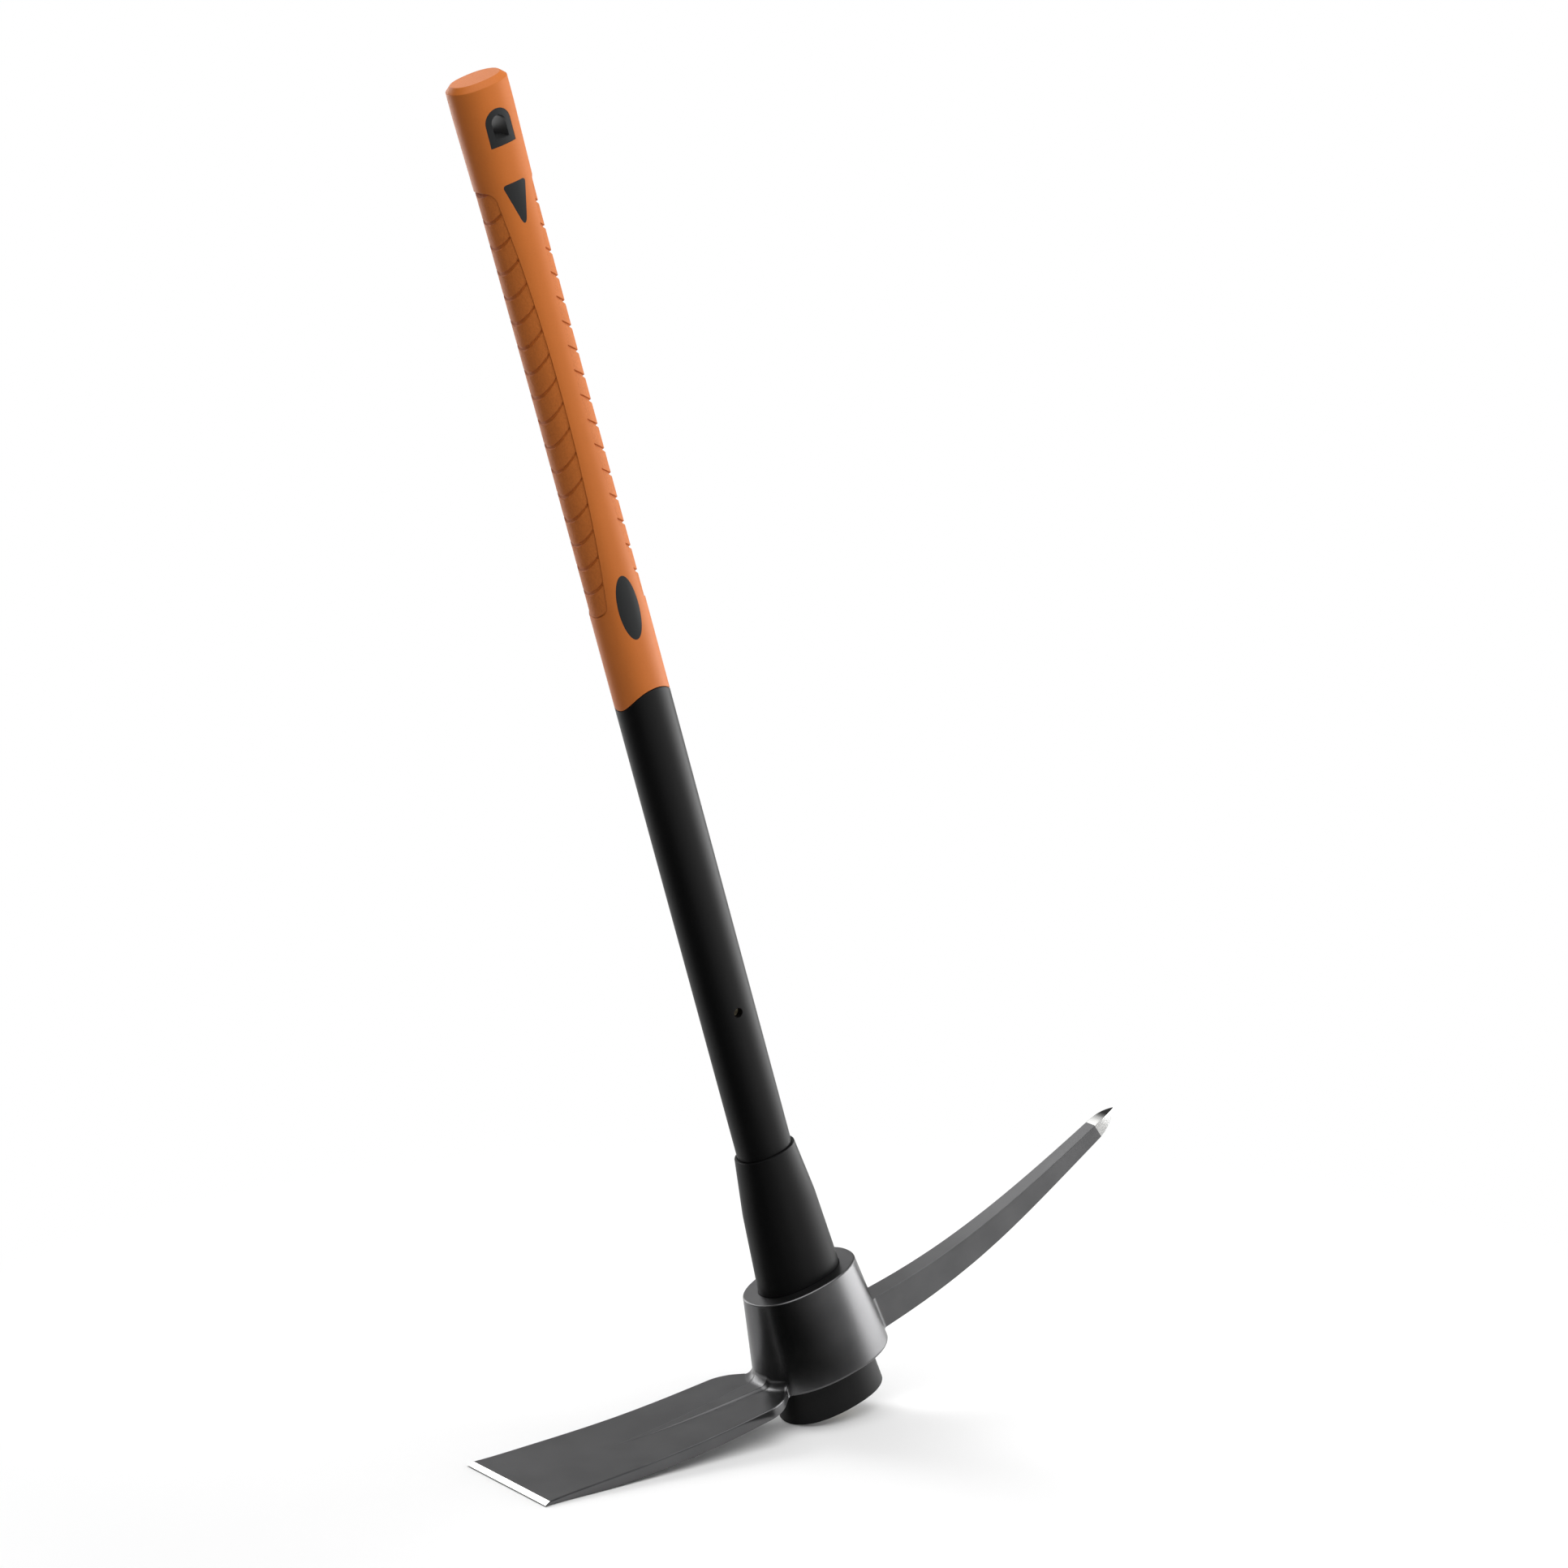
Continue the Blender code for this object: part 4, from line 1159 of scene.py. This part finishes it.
@dataclass
class BladePlan:
    """Half plan of the blade at one height, with rows that run from its edge to the collar."""

    collar: Taper
    height: float
    reach: float
    edge_width: float = 91.39
    flare_length: float = 36.0
    flare_width: float = 84.6
    flare_slope: float = -0.2
    shoulder: Plan = (-55.8, 35.2)
    shoulder_round: float = 9.0
    neck: Plan = (-39.5, 19.5)
    neck_radius: float = 3.2
    neck_search: float = 40.0
    curve_steps: int = 10
    probe: float = 0.05
    least_sine: float = 0.35
    sunk: float = 0.03
    outline: list[Vector] = field(default_factory=list)
    lengths: list[float] = field(default_factory=list)

    def __post_init__(self) -> None:
        """Draw the outline from the edge's corner to where it runs into the collar."""
        steps, radius = self.curve_steps, self.neck_radius
        flare_end = (self.flare_length - self.reach, self.flare_width / 2.0)
        taper = (self.shoulder[1] - flare_end[1]) / (self.shoulder[0] - flare_end[0])
        points = bow((-self.reach, self.edge_width / 2.0), self.flare_slope, flare_end, taper,
                     steps=steps)
        points += rounded(self.shoulder, points[-1], self.neck, self.shoulder_round, steps)
        start = Vector(points[-1])
        way = (Vector(self.neck) - start).normalized()
        outwards = Vector((-way.y, way.x))

        def touches(length: float) -> bool:
            """Tell whether the neck's round touches the collar when it starts so far along."""
            middle = start + way * length + outwards * radius
            gap = self.collar.offset_of(middle.x, middle.y, self.height)
            return gap <= radius - self.sunk

        centre = start + way * halved(0.0, self.neck_search, touches)[0] + outwards * radius
        long, wide = self.collar.size(self.height)
        power = OVAL_POWER - 1.0
        slope = Vector((-(abs(centre.x) / long) ** power / long,
                        (abs(centre.y) / wide) ** power / wide))
        first, last = -outwards, -slope.normalized()
        points += [tuple(centre + first.slerp(last, step / steps) * radius)
                   for step in range(steps + 1)]
        self.outline = [Vector(point) for point in points]
        self.lengths = [0.0]
        for before, after in zip(self.outline, self.outline[1:]):
            self.lengths.append(self.lengths[-1] + (after - before).length)

    def at(self, length: float) -> Vector:
        """Give a point of the outline.

        Args:
            length: Length along the outline from the edge's corner.

        Returns:
            The point.
        """
        length = min(max(length, 0.0), self.lengths[-1])
        for i, (before, after) in enumerate(zip(self.lengths, self.lengths[1:])):
            if length <= after:
                share = (length - before) / max(after - before, TINY)
                return self.outline[i].lerp(self.outline[i + 1], share)
        return self.outline[-1].copy()

    def length_where(self, passed: Callable[[Vector], bool]) -> float:
        """Length along the outline at which a test starts to hold."""
        return halved(0.0, self.lengths[-1], lambda length: passed(self.at(length)))[1]

    def edge_sine(self, length: float, inner: Vector) -> float:
        """Give the sine of the angle between a row's end and the outline.

        Args:
            length: Length along the outline at which the row ends.
            inner: A point of the row just inside.

        Returns:
            The sine.
        """
        tangent = (self.at(length + self.probe) - self.at(length - self.probe)).normalized()
        row = (self.at(length) - inner).normalized()
        return max(abs(tangent.x * row.y - tangent.y * row.x), self.least_sine)


Row = tuple[Callable[[float], Plan], float, float]


@dataclass
class Blade:
    """Mattock blade with rounded upper edges, its rib, and the fillet up into the collar."""

    collar: Taper
    reach: float = 240.9
    edge_height: float = 61.73
    land: float = 0.6
    ground: float = 4.3
    ground_rise: float = 1.0
    ground_slope: float = -0.191
    upper_pull: float = 0.45
    under_edge_slope: float = -0.345
    under_root_slope: float = -0.054
    side_steps: int = 60
    root_reach: float = 60.0
    root_top: float = 35.2
    root_bottom: float = 28.1
    root_slope: float = -0.093
    plan_level_at: float = -38.0
    ring_level_at: float = -43.0
    fillet: float = 6.0
    rib_reach: float = 156.0
    rib_root: float = 39.5
    rib_half: float = 7.05
    rib_tip_half: float = 0.55
    rib_rise: float = 1.9
    rib_flank: float = 2.6
    least_flank: float = 0.12
    crown_inset: float = 0.45
    least_crown: float = 0.2
    edge_round: float = 1.0
    edge_share: float = 0.3
    under_round: float = 0.5
    near_end: float = 0.97
    first_row: float = 0.3
    crease_gap: float = 0.25
    rows_from: float = -232.0
    straight_end: float = -70.0
    straight_count: int = 30
    bend_rows: int = 16
    fillet_rows: int = 12
    plate_columns: int = 12
    drops: tuple[Plan, ...] = ((1.0, 0.0), (0.62, 0.076), (0.29, 0.29), (0.076, 0.62), (0.0, 1.0))
    rib_drops: tuple[Plan, ...] = ((-0.45, 0.0), (-0.12, 0.03), (0.12, 0.14), (0.75, 0.80),
                                   (1.1, 0.96), (1.5, 1.0))
    upper: list[Plan] = field(default_factory=list)
    lower: list[Plan] = field(default_factory=list)
    rows: list[float] = field(default_factory=list)
    top_plan: BladePlan = field(init=False)
    under_plan: BladePlan = field(init=False)

    def __post_init__(self) -> None:
        """Draw the side view and both plans, and place the rows that run straight across."""
        crease = self.ground - self.reach
        self.upper = bow((-self.root_reach, self.root_top), self.root_slope,
                         (crease, self.edge_height + self.ground_rise), self.ground_slope,
                         self.upper_pull, self.side_steps)[::-1]
        self.upper.insert(0, (-self.reach, self.edge_height + self.land / 2.0))
        self.upper.append((0.0, self.root_top + self.root_slope * self.root_reach))
        self.lower = bow((-self.reach, self.edge_height - self.land / 2.0), self.under_edge_slope,
                         (-self.root_reach, self.root_bottom), self.under_root_slope,
                         steps=self.side_steps)
        self.lower.append((0.0, self.root_bottom))
        level = along(self.upper, self.plan_level_at) + self.fillet
        self.top_plan = BladePlan(self.collar, level, self.reach)
        self.under_plan = BladePlan(self.collar, self.root_bottom, self.reach)
        self.rows = [-self.reach, self.first_row - self.reach, crease - self.crease_gap, crease,
                     crease + self.crease_gap]
        run = self.straight_end - self.rows_from
        self.rows += [self.rows_from + run * step / self.straight_count
                      for step in range(self.straight_count + 1)]

    def rib_share(self, x: float) -> float:
        """Share of its full size that the rib has at an x."""
        return held_share(x, -self.rib_reach, -self.rib_root)

    def row(self, plan: BladePlan, number: int, top: bool) -> Row:
        """Describe one row of the blade.

        Args:
            plan: The plan at the row's height.
            number: Number of the row from the edge.
            top: Whether the row is on the upper face.

        Returns:
            A function from a share of the half row to its plan point, the length along the outline
            at which the row ends, and the rise of the fillet.
        """
        if number < len(self.rows):
            x = self.rows[number]
            length = plan.length_where(lambda p: p.x > x)
            end = plan.at(length)
            return (lambda v: (x, v * end.y)), length, 0.0
        number += 1 - len(self.rows)
        offset, rise = self.fillet, 0.0
        if number > self.bend_rows:
            away, risen = quarter(number - self.bend_rows, self.fillet_rows, self.fillet)
            offset, rise = away - plan.sunk, risen if top else 0.0
        level = along(self.upper if top else self.lower, self.ring_level_at) + rise
        ring_length = plan.length_where(
            lambda p: (p.x > -self.root_reach
                       and plan.collar.offset_of(p.x, p.y, plan.height) < offset))
        ring_end = plan.at(ring_length)

        def ring(v: float) -> Plan:
            """Place a point of a row that runs round the collar."""
            return -plan.collar.wall_x(v * ring_end.y, level, offset), v * ring_end.y

        if number > self.bend_rows:
            return ring, ring_length, rise
        straight, share = self.straight_end, number / self.bend_rows
        first = plan.length_where(lambda p: p.x > straight)
        length = first + (ring_length - first) * share
        end = plan.at(length)

        def bent(v: float) -> Plan:
            """Place a point of a row between the last straight one and the first round one."""
            blend_end = (1.0 - share) * straight + share * ring(1.0)[0]
            x = (1.0 - share) * straight + share * ring(v)[0] + (end.x - blend_end) * v ** 3
            return x, v * end.y

        return bent, length, 0.0

    def half_columns(self, plan: BladePlan, row: Row) -> list[tuple[float, float, float]]:
        """Give the points of a half row as share of the row, rib share and rounding.

        Args:
            plan: The plan at the row's height.
            row: The row.

        Returns:
            For each column its share of the half row, its share of the rib's drop from 0 on the
            rib's top to 1 on the plate, and how far the edge rounding drops it.
        """
        point, length, _ = row
        end = plan.at(length)
        grown = self.rib_share(point(0.0)[0])
        crown = self.rib_tip_half + (self.rib_half - self.rib_tip_half) * grown
        flank = self.rib_flank * max(grown, self.least_flank)
        inside = 0.5 * max(crown - self.crown_inset, self.least_crown)
        columns = [(0.0, 0.0, 0.0), (inside / end.y, 0.0, 0.0)]
        for share, drop in self.rib_drops:
            reach = crown + share * (flank if share > 0.0 else min(1.0, crown))
            columns.append((reach / end.y, drop, 0.0))
        sine = plan.edge_sine(length, Vector(point(self.near_end)))
        thick = along(self.upper, end.x) - along(self.lower, end.x)
        radius = min(self.edge_round, self.edge_share * thick)
        start, inner = columns[-1][0], 1.0 - radius / sine / end.y
        columns += [(start + (inner - start) * step / (self.plate_columns + 1), 1.0, 0.0)
                    for step in range(1, self.plate_columns + 1)]
        return columns + [(1.0 - away * radius / sine / end.y, 1.0, drop * radius)
                          for away, drop in self.drops]

    def face(self, top: bool) -> list[list[Vector]]:
        """Place the half rows of the upper or the lower face.

        Args:
            top: Whether it is the upper face.

        Returns:
            The points of each half row, from the middle to the edge.
        """
        plan, side = (self.top_plan, self.upper) if top else (self.under_plan, self.lower)
        lines = []
        for number in range(len(self.rows) + self.bend_rows + self.fillet_rows):
            row = self.row(plan, number, top)
            line = []
            for share, drop, rounding in self.half_columns(plan, row):
                x, y = row[0](share)
                lift = self.under_round * rounding
                if top:
                    lift = row[2] + self.rib_rise * self.rib_share(x) * (1.0 - drop) - rounding
                line.append(Vector((x, y, along(side, x) + lift)))
            lines.append(line)
        return lines

    def build(self) -> Piece:
        """Model the blade, ready to be joined to the collar."""
        table = {top: self.face(top) for top in (True, False)}
        half = len(table[True][0]) - 1

        def place(row: int, column: int, top: bool) -> Vector:
            """Place a point of the slab, mirroring the half rows."""
            point = table[top][row][abs(column - half)].copy()
            point.y = math.copysign(point.y, column - half)
            return point

        return Bench.slab("blade", len(table[True]), 2 * half + 1, place)


@dataclass
class Pick:
    """Pick: a four sided bar with narrow ridges, root fillets, and a ground point."""

    collar: Taper
    root: float = 50.0
    root_top: float = 53.3
    root_bottom: float = 30.1
    root_width: float = 16.0
    shoulder: float = 243.0
    shoulder_top: float = 83.5
    shoulder_bottom: float = 72.6
    shoulder_width: float = 9.7
    upper_root_slope: float = -0.009
    upper_slope: float = 0.262
    upper_pull: float = 0.356
    upper_tip_slope: float = -0.12
    lower_root_slope: float = 0.05
    lower_slope: float = 0.323
    lower_pull: float = 0.408
    lower_tip_slope: float = 0.85
    side_tip_slope: float = -0.6
    side_steps: int = 40
    reach: float = 261.69
    tip_height: float = 85.2
    tip_size: float = 0.8
    fillet: float = 3.5
    sunk: float = 0.03
    ridge: float = 0.6
    root_ridge: float = 0.4
    ridge_run: float = 60.0
    ridge_width_share: float = 0.3
    ridge_height_share: float = 0.15
    coat_tilt: float = 0.26
    tilt_run: float = 40.0
    bar_from: float = 1.5
    bar_rings: int = 26
    point_rings: int = 9
    point_crowding: float = 0.9
    fillet_rings: int = 8
    ridge_points: int = 4
    upper: list[Plan] = field(default_factory=list)
    lower: list[Plan] = field(default_factory=list)
    half_width: list[Plan] = field(default_factory=list)

    def __post_init__(self) -> None:
        """Draw the side view and the plan."""
        top, bottom = (self.shoulder, self.shoulder_top), (self.shoulder, self.shoulder_bottom)
        half_tip, steps = self.tip_size / 2.0, self.side_steps
        self.upper = [(0.0, self.root_top)]
        self.upper += bow((self.root, self.root_top), self.upper_root_slope, top,
                          self.upper_slope, self.upper_pull, steps)
        self.upper += bow(top, self.upper_slope, (self.reach, self.tip_height + half_tip),
                          self.upper_tip_slope)[1:]
        self.lower = [(0.0, self.root_bottom)]
        self.lower += bow((self.root, self.root_bottom), self.lower_root_slope, bottom,
                          self.lower_slope, self.lower_pull, steps)
        self.lower += bow(bottom, self.lower_slope, (self.reach, self.tip_height - half_tip),
                          self.lower_tip_slope)[1:]
        half_root, half_shoulder = self.root_width / 2.0, self.shoulder_width / 2.0
        taper = (half_shoulder - half_root) / (self.shoulder - self.root)
        self.half_width = [(0.0, half_root), (self.root, half_root)]
        self.half_width += bow((self.shoulder, half_shoulder), taper, (self.reach, half_tip),
                               self.side_tip_slope)

    def is_ground(self, point: Vector) -> bool:
        """Tell whether a point lies beyond the slanted line where the coating ends."""
        middle = (along(self.upper, point.x) + along(self.lower, point.x)) / 2.0
        return point.x - self.coat_tilt * (middle - point.z) > self.shoulder

    def stations(self) -> list[tuple[float, float, bool]]:
        """List the rings, first those of the fillet, then the bar's and the point's.

        Returns:
            For each ring its place along X, or its distance from the collar, how much wider than
            the bar it is, and whether it follows the collar.
        """
        stops = []
        for step in range(self.fillet_rings, 0, -1):
            away, wider = quarter(step, self.fillet_rings, self.fillet)
            stops.append((away - self.sunk, wider, True))
        start = self.root + self.bar_from
        stops += [(start + (self.shoulder - start) * step / self.bar_rings, 0.0, False)
                  for step in range(self.bar_rings + 1)]
        for step in range(1, self.point_rings + 1):
            share = math.sin(math.pi / 2.0 * step / self.point_rings) ** self.point_crowding
            stops.append((self.shoulder + (self.reach - self.shoulder) * share, 0.0, False))
        return stops

    def build(self) -> Piece:
        """Model the pick, ready to be joined to the collar."""
        stations = self.stations()

        def place(ring: int, side: int) -> Vector:
            """Place a point of a four sided ring, with a narrow round ridge at each corner."""
            reach, wider, at_root = stations[ring]
            x = self.root if at_root else reach
            corner, step = divmod(side, self.ridge_points)
            across, upwards = ((1, 1), (-1, 1), (-1, -1), (1, -1))[corner]
            tilt = self.coat_tilt * held_share(x, self.shoulder - self.tilt_run, self.shoulder)
            x -= upwards * tilt * (along(self.upper, x) - along(self.lower, x)) / 2.0
            x = min(x, self.reach)
            top, bottom, half = (along(curve, x)
                                 for curve in (self.upper, self.lower, self.half_width))
            grown = held_share(x, self.root, self.root + self.ridge_run)
            ridge = min(self.ridge * (self.root_ridge + (1.0 - self.root_ridge) * grown),
                        self.ridge_width_share * half, self.ridge_height_share * (top - bottom))
            turn = math.pi / 2.0 * (corner + step / (self.ridge_points - 1))
            y = across * (half + wider - ridge) + ridge * math.cos(turn)
            z = (top - ridge if upwards > 0 else bottom + ridge) + ridge * math.sin(turn)
            return Vector((self.collar.wall_x(y, z, reach) if at_root else x, y, z))

        return Bench.ring_stack("pick", 4 * self.ridge_points, len(stations), place)


@dataclass
class Head:
    """One forging: eye collar, mattock blade and pick."""

    collar: Taper
    seat: Taper
    coated: Finish
    ground: Finish
    # Finish that paints a dark reflection on the point's upper faces.
    painted_dark_reflection: Finish
    top_round: float = 1.1
    bottom_round: float = 2.0
    round_steps: int = 6
    hair: float = 0.05
    edge_face_up: float = 0.2
    # Least upward lean of a point face that takes the painted dark reflection.
    painted_dark_face_up: float = 0.3

    def collar_solid(self) -> Piece:
        """Model the collar without its eye."""
        rings = []
        for end, radius, way in ((self.collar.bottom, self.bottom_round, 1.0),
                                 (self.collar.top, self.top_round, -1.0)):
            for step in range(self.round_steps + 1):
                away, inset = quarter(step, self.round_steps, radius)
                height = end + way * away
                long, wide = self.collar.size(height)
                rings.append((long - inset, wide - inset, height))
        return Bench.ovals("collar", sorted(rings, key=lambda ring: ring[2]), FINE_SIDES)

    def eye_cutter(self) -> Piece:
        """Model the tapered eye as a solid to take away."""
        rings = []
        for height in (self.seat.bottom - CUT_MARGIN, self.seat.top + CUT_MARGIN):
            long, wide = self.seat.size(height)
            rings.append((long + GAP, wide + GAP, height))
        return Bench.ovals("eye", rings, FINE_SIDES)

    def build(self) -> None:
        """Model and dress the head: coated, ground at both ends, with a painted dark reflection on
        the point's upper faces.
        """
        head = self.collar_solid()
        blade, pick = Blade(self.collar), Pick(self.collar)
        for arm in (blade.build(), pick.build()):
            Bench.combine(head, arm, Cut.ADD)
        Bench.combine(head, self.eye_cutter(), Cut.TAKE_AWAY)
        Bench.turn_outwards(head)
        for face in head.data.polygons:
            place, up = face.center, face.normal.z
            bright_edge = (place.x < blade.ground - blade.reach + self.hair
                           and (up > self.edge_face_up or place.x < self.hair - blade.reach))
            on_point = pick.is_ground(place)
            # Upward faces of the ground point take the painted dark reflection finish.
            dark = on_point and up > self.painted_dark_face_up
            face.material_index = 2 if dark else int(bright_edge or on_point)
        Bench.hand_over(head, Body.HEAD, "head_forging", Slot.STEEL, self.coated, self.ground,
                        self.painted_dark_reflection)


# Studio

@dataclass
class Softbox:
    """One flat studio light, placed by its distance across the view, nearer the camera, and up."""

    name: str
    across: float
    nearer: float
    up: float
    aim_height: float
    width: float
    height: float
    radiance: float

    def hang(self, right: Vector, level: Vector) -> None:
        """Put the light up.

        Args:
            right: Direction to the right in the view.
            level: Level direction away from the camera.
        """
        data = bpy.data.lights.new(self.name, "AREA")
        data.shape = "RECTANGLE"
        data.size, data.size_y = self.width, self.height
        data.energy = self.radiance * math.pi * self.width * self.height
        light = bpy.data.objects.new(self.name, data)
        bpy.context.scene.collection.objects.link(light)
        light.location = right * self.across - level * self.nearer + UP * self.up
        way = UP * self.aim_height - light.location
        light.rotation_euler = way.to_track_quat("-Z", "Y").to_euler()


@dataclass
class DarkCard:
    """Black card in front of the set that only shows as the dark side of the reflections."""

    near_edge: tuple[Plan, ...] = ((-1.1, 0.3), (-0.19, 0.19), (-0.075, 0.108), (-0.01, 0.053),
                                   (0.03, 0.056), (0.075, 0.052), (0.11, 0.04), (0.135, 0.03),
                                   (0.19, 0.038), (0.29, 0.09), (0.42, 0.22))
    height: float = 0.02
    far_end: float = 2.6
    far_height: float = 2.4
    tone: float = 0.01

    def stand(self, right: Vector, level: Vector) -> None:
        """Lay the card in front of the tool and fold its far end up.

        Args:
            right: Direction to the right in the view.
            level: Level direction away from the camera.
        """
        Bench.clear()
        columns = len(self.near_edge) - 1
        bpy.ops.mesh.primitive_grid_add(x_subdivisions=columns, y_subdivisions=2, size=2.0)
        card = Bench.named("black_card")
        for vertex in card.data.vertices:
            across, near_end = self.near_edge[round((vertex.co.x + 1.0) * columns / 2.0)]
            nearer = near_end if vertex.co.y < -0.5 else self.far_end
            up = self.far_height if vertex.co.y > 0.5 else self.height
            vertex.co = right * across - level * nearer + UP * up
        cloth = Nodes("black_cloth")
        cloth.fix(Base_Color=(self.tone, self.tone, self.tone, 1.0), Roughness=1.0,
                  Specular_IOR_Level=0.0)
        card.data.materials.append(cloth.material)
        card.visible_camera = card.visible_diffuse = card.visible_shadow = False


@dataclass
class Studio:
    """Floor, lights, surroundings and camera."""

    camera_place: tuple[float, float, float] = (-2.33652, -3.36176, 1.43347)
    camera_way: tuple[float, float, float] = (0.55223874, 0.79842692, -0.23988918)
    lens: float = 153.87
    sensor: float = 36.0
    seen_to: float = 200.0
    floor_size: float = 60.0
    floor_tone: float = 0.60
    seen_tone: float = 0.79
    fade_from: float = 0.28
    fade_to: float = 0.65
    room_front: Plan = (-0.35, 0.05)
    room_back: Plan = (0.75, 0.45)
    card: DarkCard = field(default_factory=DarkCard)
    softboxes: tuple[Softbox, ...] = (
        Softbox("key_box", 0.40, 0.80, 2.15, 0.45, 2.2, 2.2, 2.9),
        Softbox("right_box", 1.22, -0.445, 0.90, 0.9, 1.25, 1.0, 2.7),
        Softbox("right_low_box", 1.22, -0.445, 0.20, 0.2, 1.25, 0.4, 8.6),
        Softbox("left_strip", -0.90, -0.63, 0.70, 0.6, 0.5, 1.4, 4.6),
        Softbox("back_box", -0.79, -1.01, 1.60, 0.1, 1.1, 1.1, 1.9),
    )

    def basis(self) -> tuple[Vector, Vector, Vector]:
        """Right, up and forward directions of the camera."""
        forward = Vector(self.camera_way).normalized()
        right = forward.cross(UP).normalized()
        return right, right.cross(forward), forward

    def set_camera(self) -> None:
        """Place the camera where the photograph was taken."""
        right, up, forward = self.basis()
        data = bpy.data.cameras.new("camera")
        data.lens, data.sensor_width, data.clip_end = self.lens, self.sensor, self.seen_to
        camera = bpy.data.objects.new("camera", data)
        bpy.context.scene.collection.objects.link(camera)
        turn = Matrix((right, up, -forward)).transposed().to_4x4()
        camera.matrix_world = Matrix.Translation(self.camera_place) @ turn
        bpy.context.scene.camera = camera

    @staticmethod
    def seen_rays(graph: Graph) -> Socket:
        """Find the rays that show the surroundings: to the camera, in metal and through glass.

        Args:
            graph: The nodes of the floor.

        Returns:
            1 for such rays and 0 for the others.
        """
        path = graph.add("ShaderNodeLightPath")
        total = path.outputs["Is Camera Ray"]
        for name in ("Is Glossy Ray", "Is Transmission Ray"):
            total = graph.add("ShaderNodeMath", {0: total, 1: path.outputs[name]},
                              operation="ADD", use_clamp=True).outputs[0]
        return total

    def lay_floor(self) -> None:
        """Lay a plain pale floor that keeps the shadow and fades to white far away."""
        Bench.clear()
        bpy.ops.mesh.primitive_plane_add(size=self.floor_size, location=(0.0, 0.0, 0.0))
        floor = Bench.named("studio_floor")
        material = bpy.data.materials.new("pale_floor")
        graph = Graph.emptied(material)
        place = graph.add("ShaderNodeTexCoord").outputs["Object"]
        away = graph.add("ShaderNodeVectorMath", {0: place}, operation="LENGTH").outputs["Value"]
        far = graph.add("ShaderNodeMapRange", {"Value": away}, interpolation_type="SMOOTHSTEP",
                        From_Min=self.fade_from, From_Max=self.fade_to).outputs["Result"]
        seen = self.seen_rays(graph)
        share = graph.add("ShaderNodeMath", {0: far, 1: seen}, operation="MULTIPLY").outputs[0]
        tone = graph.add("ShaderNodeMapRange", {"Value": seen}, To_Min=self.floor_tone,
                         To_Max=self.seen_tone).outputs["Result"]
        cloth = graph.add("ShaderNodeBsdfDiffuse", {"Color": tone}).outputs[0]
        white = graph.add("ShaderNodeEmission", Color=WHITE, Strength=1.0).outputs[0]
        both = graph.add("ShaderNodeMixShader", {0: share, 1: cloth, 2: white}).outputs[0]
        graph.add("ShaderNodeOutputMaterial", {"Surface": both})
        floor.data.materials.append(material)

    def set_surroundings(self) -> None:
        """Surround the set with a dim room, lighter behind the tool than in front of it."""
        world = bpy.data.worlds.new("studio_room")
        graph = Graph.emptied(world)
        place = graph.add("ShaderNodeTexCoord").outputs["Generated"]
        along_view = graph.add("ShaderNodeVectorMath", {0: place}, operation="DOT_PRODUCT")
        forward = self.basis()[2]
        along_view.inputs[1].default_value = (forward.x, forward.y, 0.0)
        light = graph.add("ShaderNodeMapRange", {"Value": along_view.outputs["Value"]},
                          interpolation_type="SMOOTHSTEP",
                          From_Min=self.room_front[0], From_Max=self.room_back[0],
                          To_Min=self.room_front[1], To_Max=self.room_back[1])
        room = graph.add("ShaderNodeBackground", {"Strength": light.outputs["Result"]},
                         Color=WHITE)
        graph.add("ShaderNodeOutputWorld", {"Surface": room.outputs[0]})
        bpy.context.scene.world = world

    def build(self) -> None:
        """Set the whole studio up."""
        self.set_camera()
        self.lay_floor()
        self.set_surroundings()
        right, _, forward = self.basis()
        level = Vector((forward.x, forward.y, 0.0)).normalized()
        self.card.stand(right, level)
        for softbox in self.softboxes:
            softbox.hang(right, level)
        bpy.context.scene.view_settings.view_transform = "Standard"


def dress_core() -> None:
    """Give the carried-over rod its glass fibre finish."""
    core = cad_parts["fiberglass_core"]
    finish = GlassFibre().make()
    if not core.material_slots:
        core.data.materials.append(finish)
    for slot in core.material_slots:
        slot.material = finish
    LOG.info("fiberglass_core dressed")


def main() -> None:
    """Build every sub-assembly in order."""
    logging.basicConfig(level=logging.INFO, format="%(name)s: %(message)s")
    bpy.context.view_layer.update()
    orange = SoftRubber("orange_grip_rubber").make()
    grained = SoftRubber("orange_pad_rubber", roughness=0.58, grain=0.22, grain_scale=850.0,
                         speckle=0.06).make()
    shaft_black = SatinPlastic("black_shaft_plastic").make()
    sleeve_black = SatinPlastic("black_sleeve_plastic", roughness=0.42, grain=0.012).make()
    inlay_black = SatinPlastic("black_inlay_plastic", colour=(0.018, 0.019, 0.0195),
                               dusty=(0.023, 0.024, 0.0245), roughness=0.45).make()
    # Finish that paints a dark reflection on the point's upper faces, from X 0.235 m to the tip.
    painted_dark_reflection = GroundSteel("point_steel_painted_dark_reflection", painted_dark_from=0.2350, painted_dark_to=0.2445).make()
    form = HandleForm()
    seat = Taper(34.6, 22.7, 29.3, 18.0)
    collar = Taper(47.2, 34.6, 39.9, 26.4)
    Studio().build()
    dress_core()
    Shaft(form, shaft_black).build()
    grip_maker = Grip(form, orange)
    grip = grip_maker.model()
    SidePads(form, grained).build(grip)
    Inlays(form, inlay_black).build(grip)
    grip_maker.dress(grip)
    Sleeve(form, seat, sleeve_black).build()
    Head(collar, seat, CoatedSteel().make(), GroundSteel().make(), painted_dark_reflection).build()


if __name__ == "__main__":
    main()
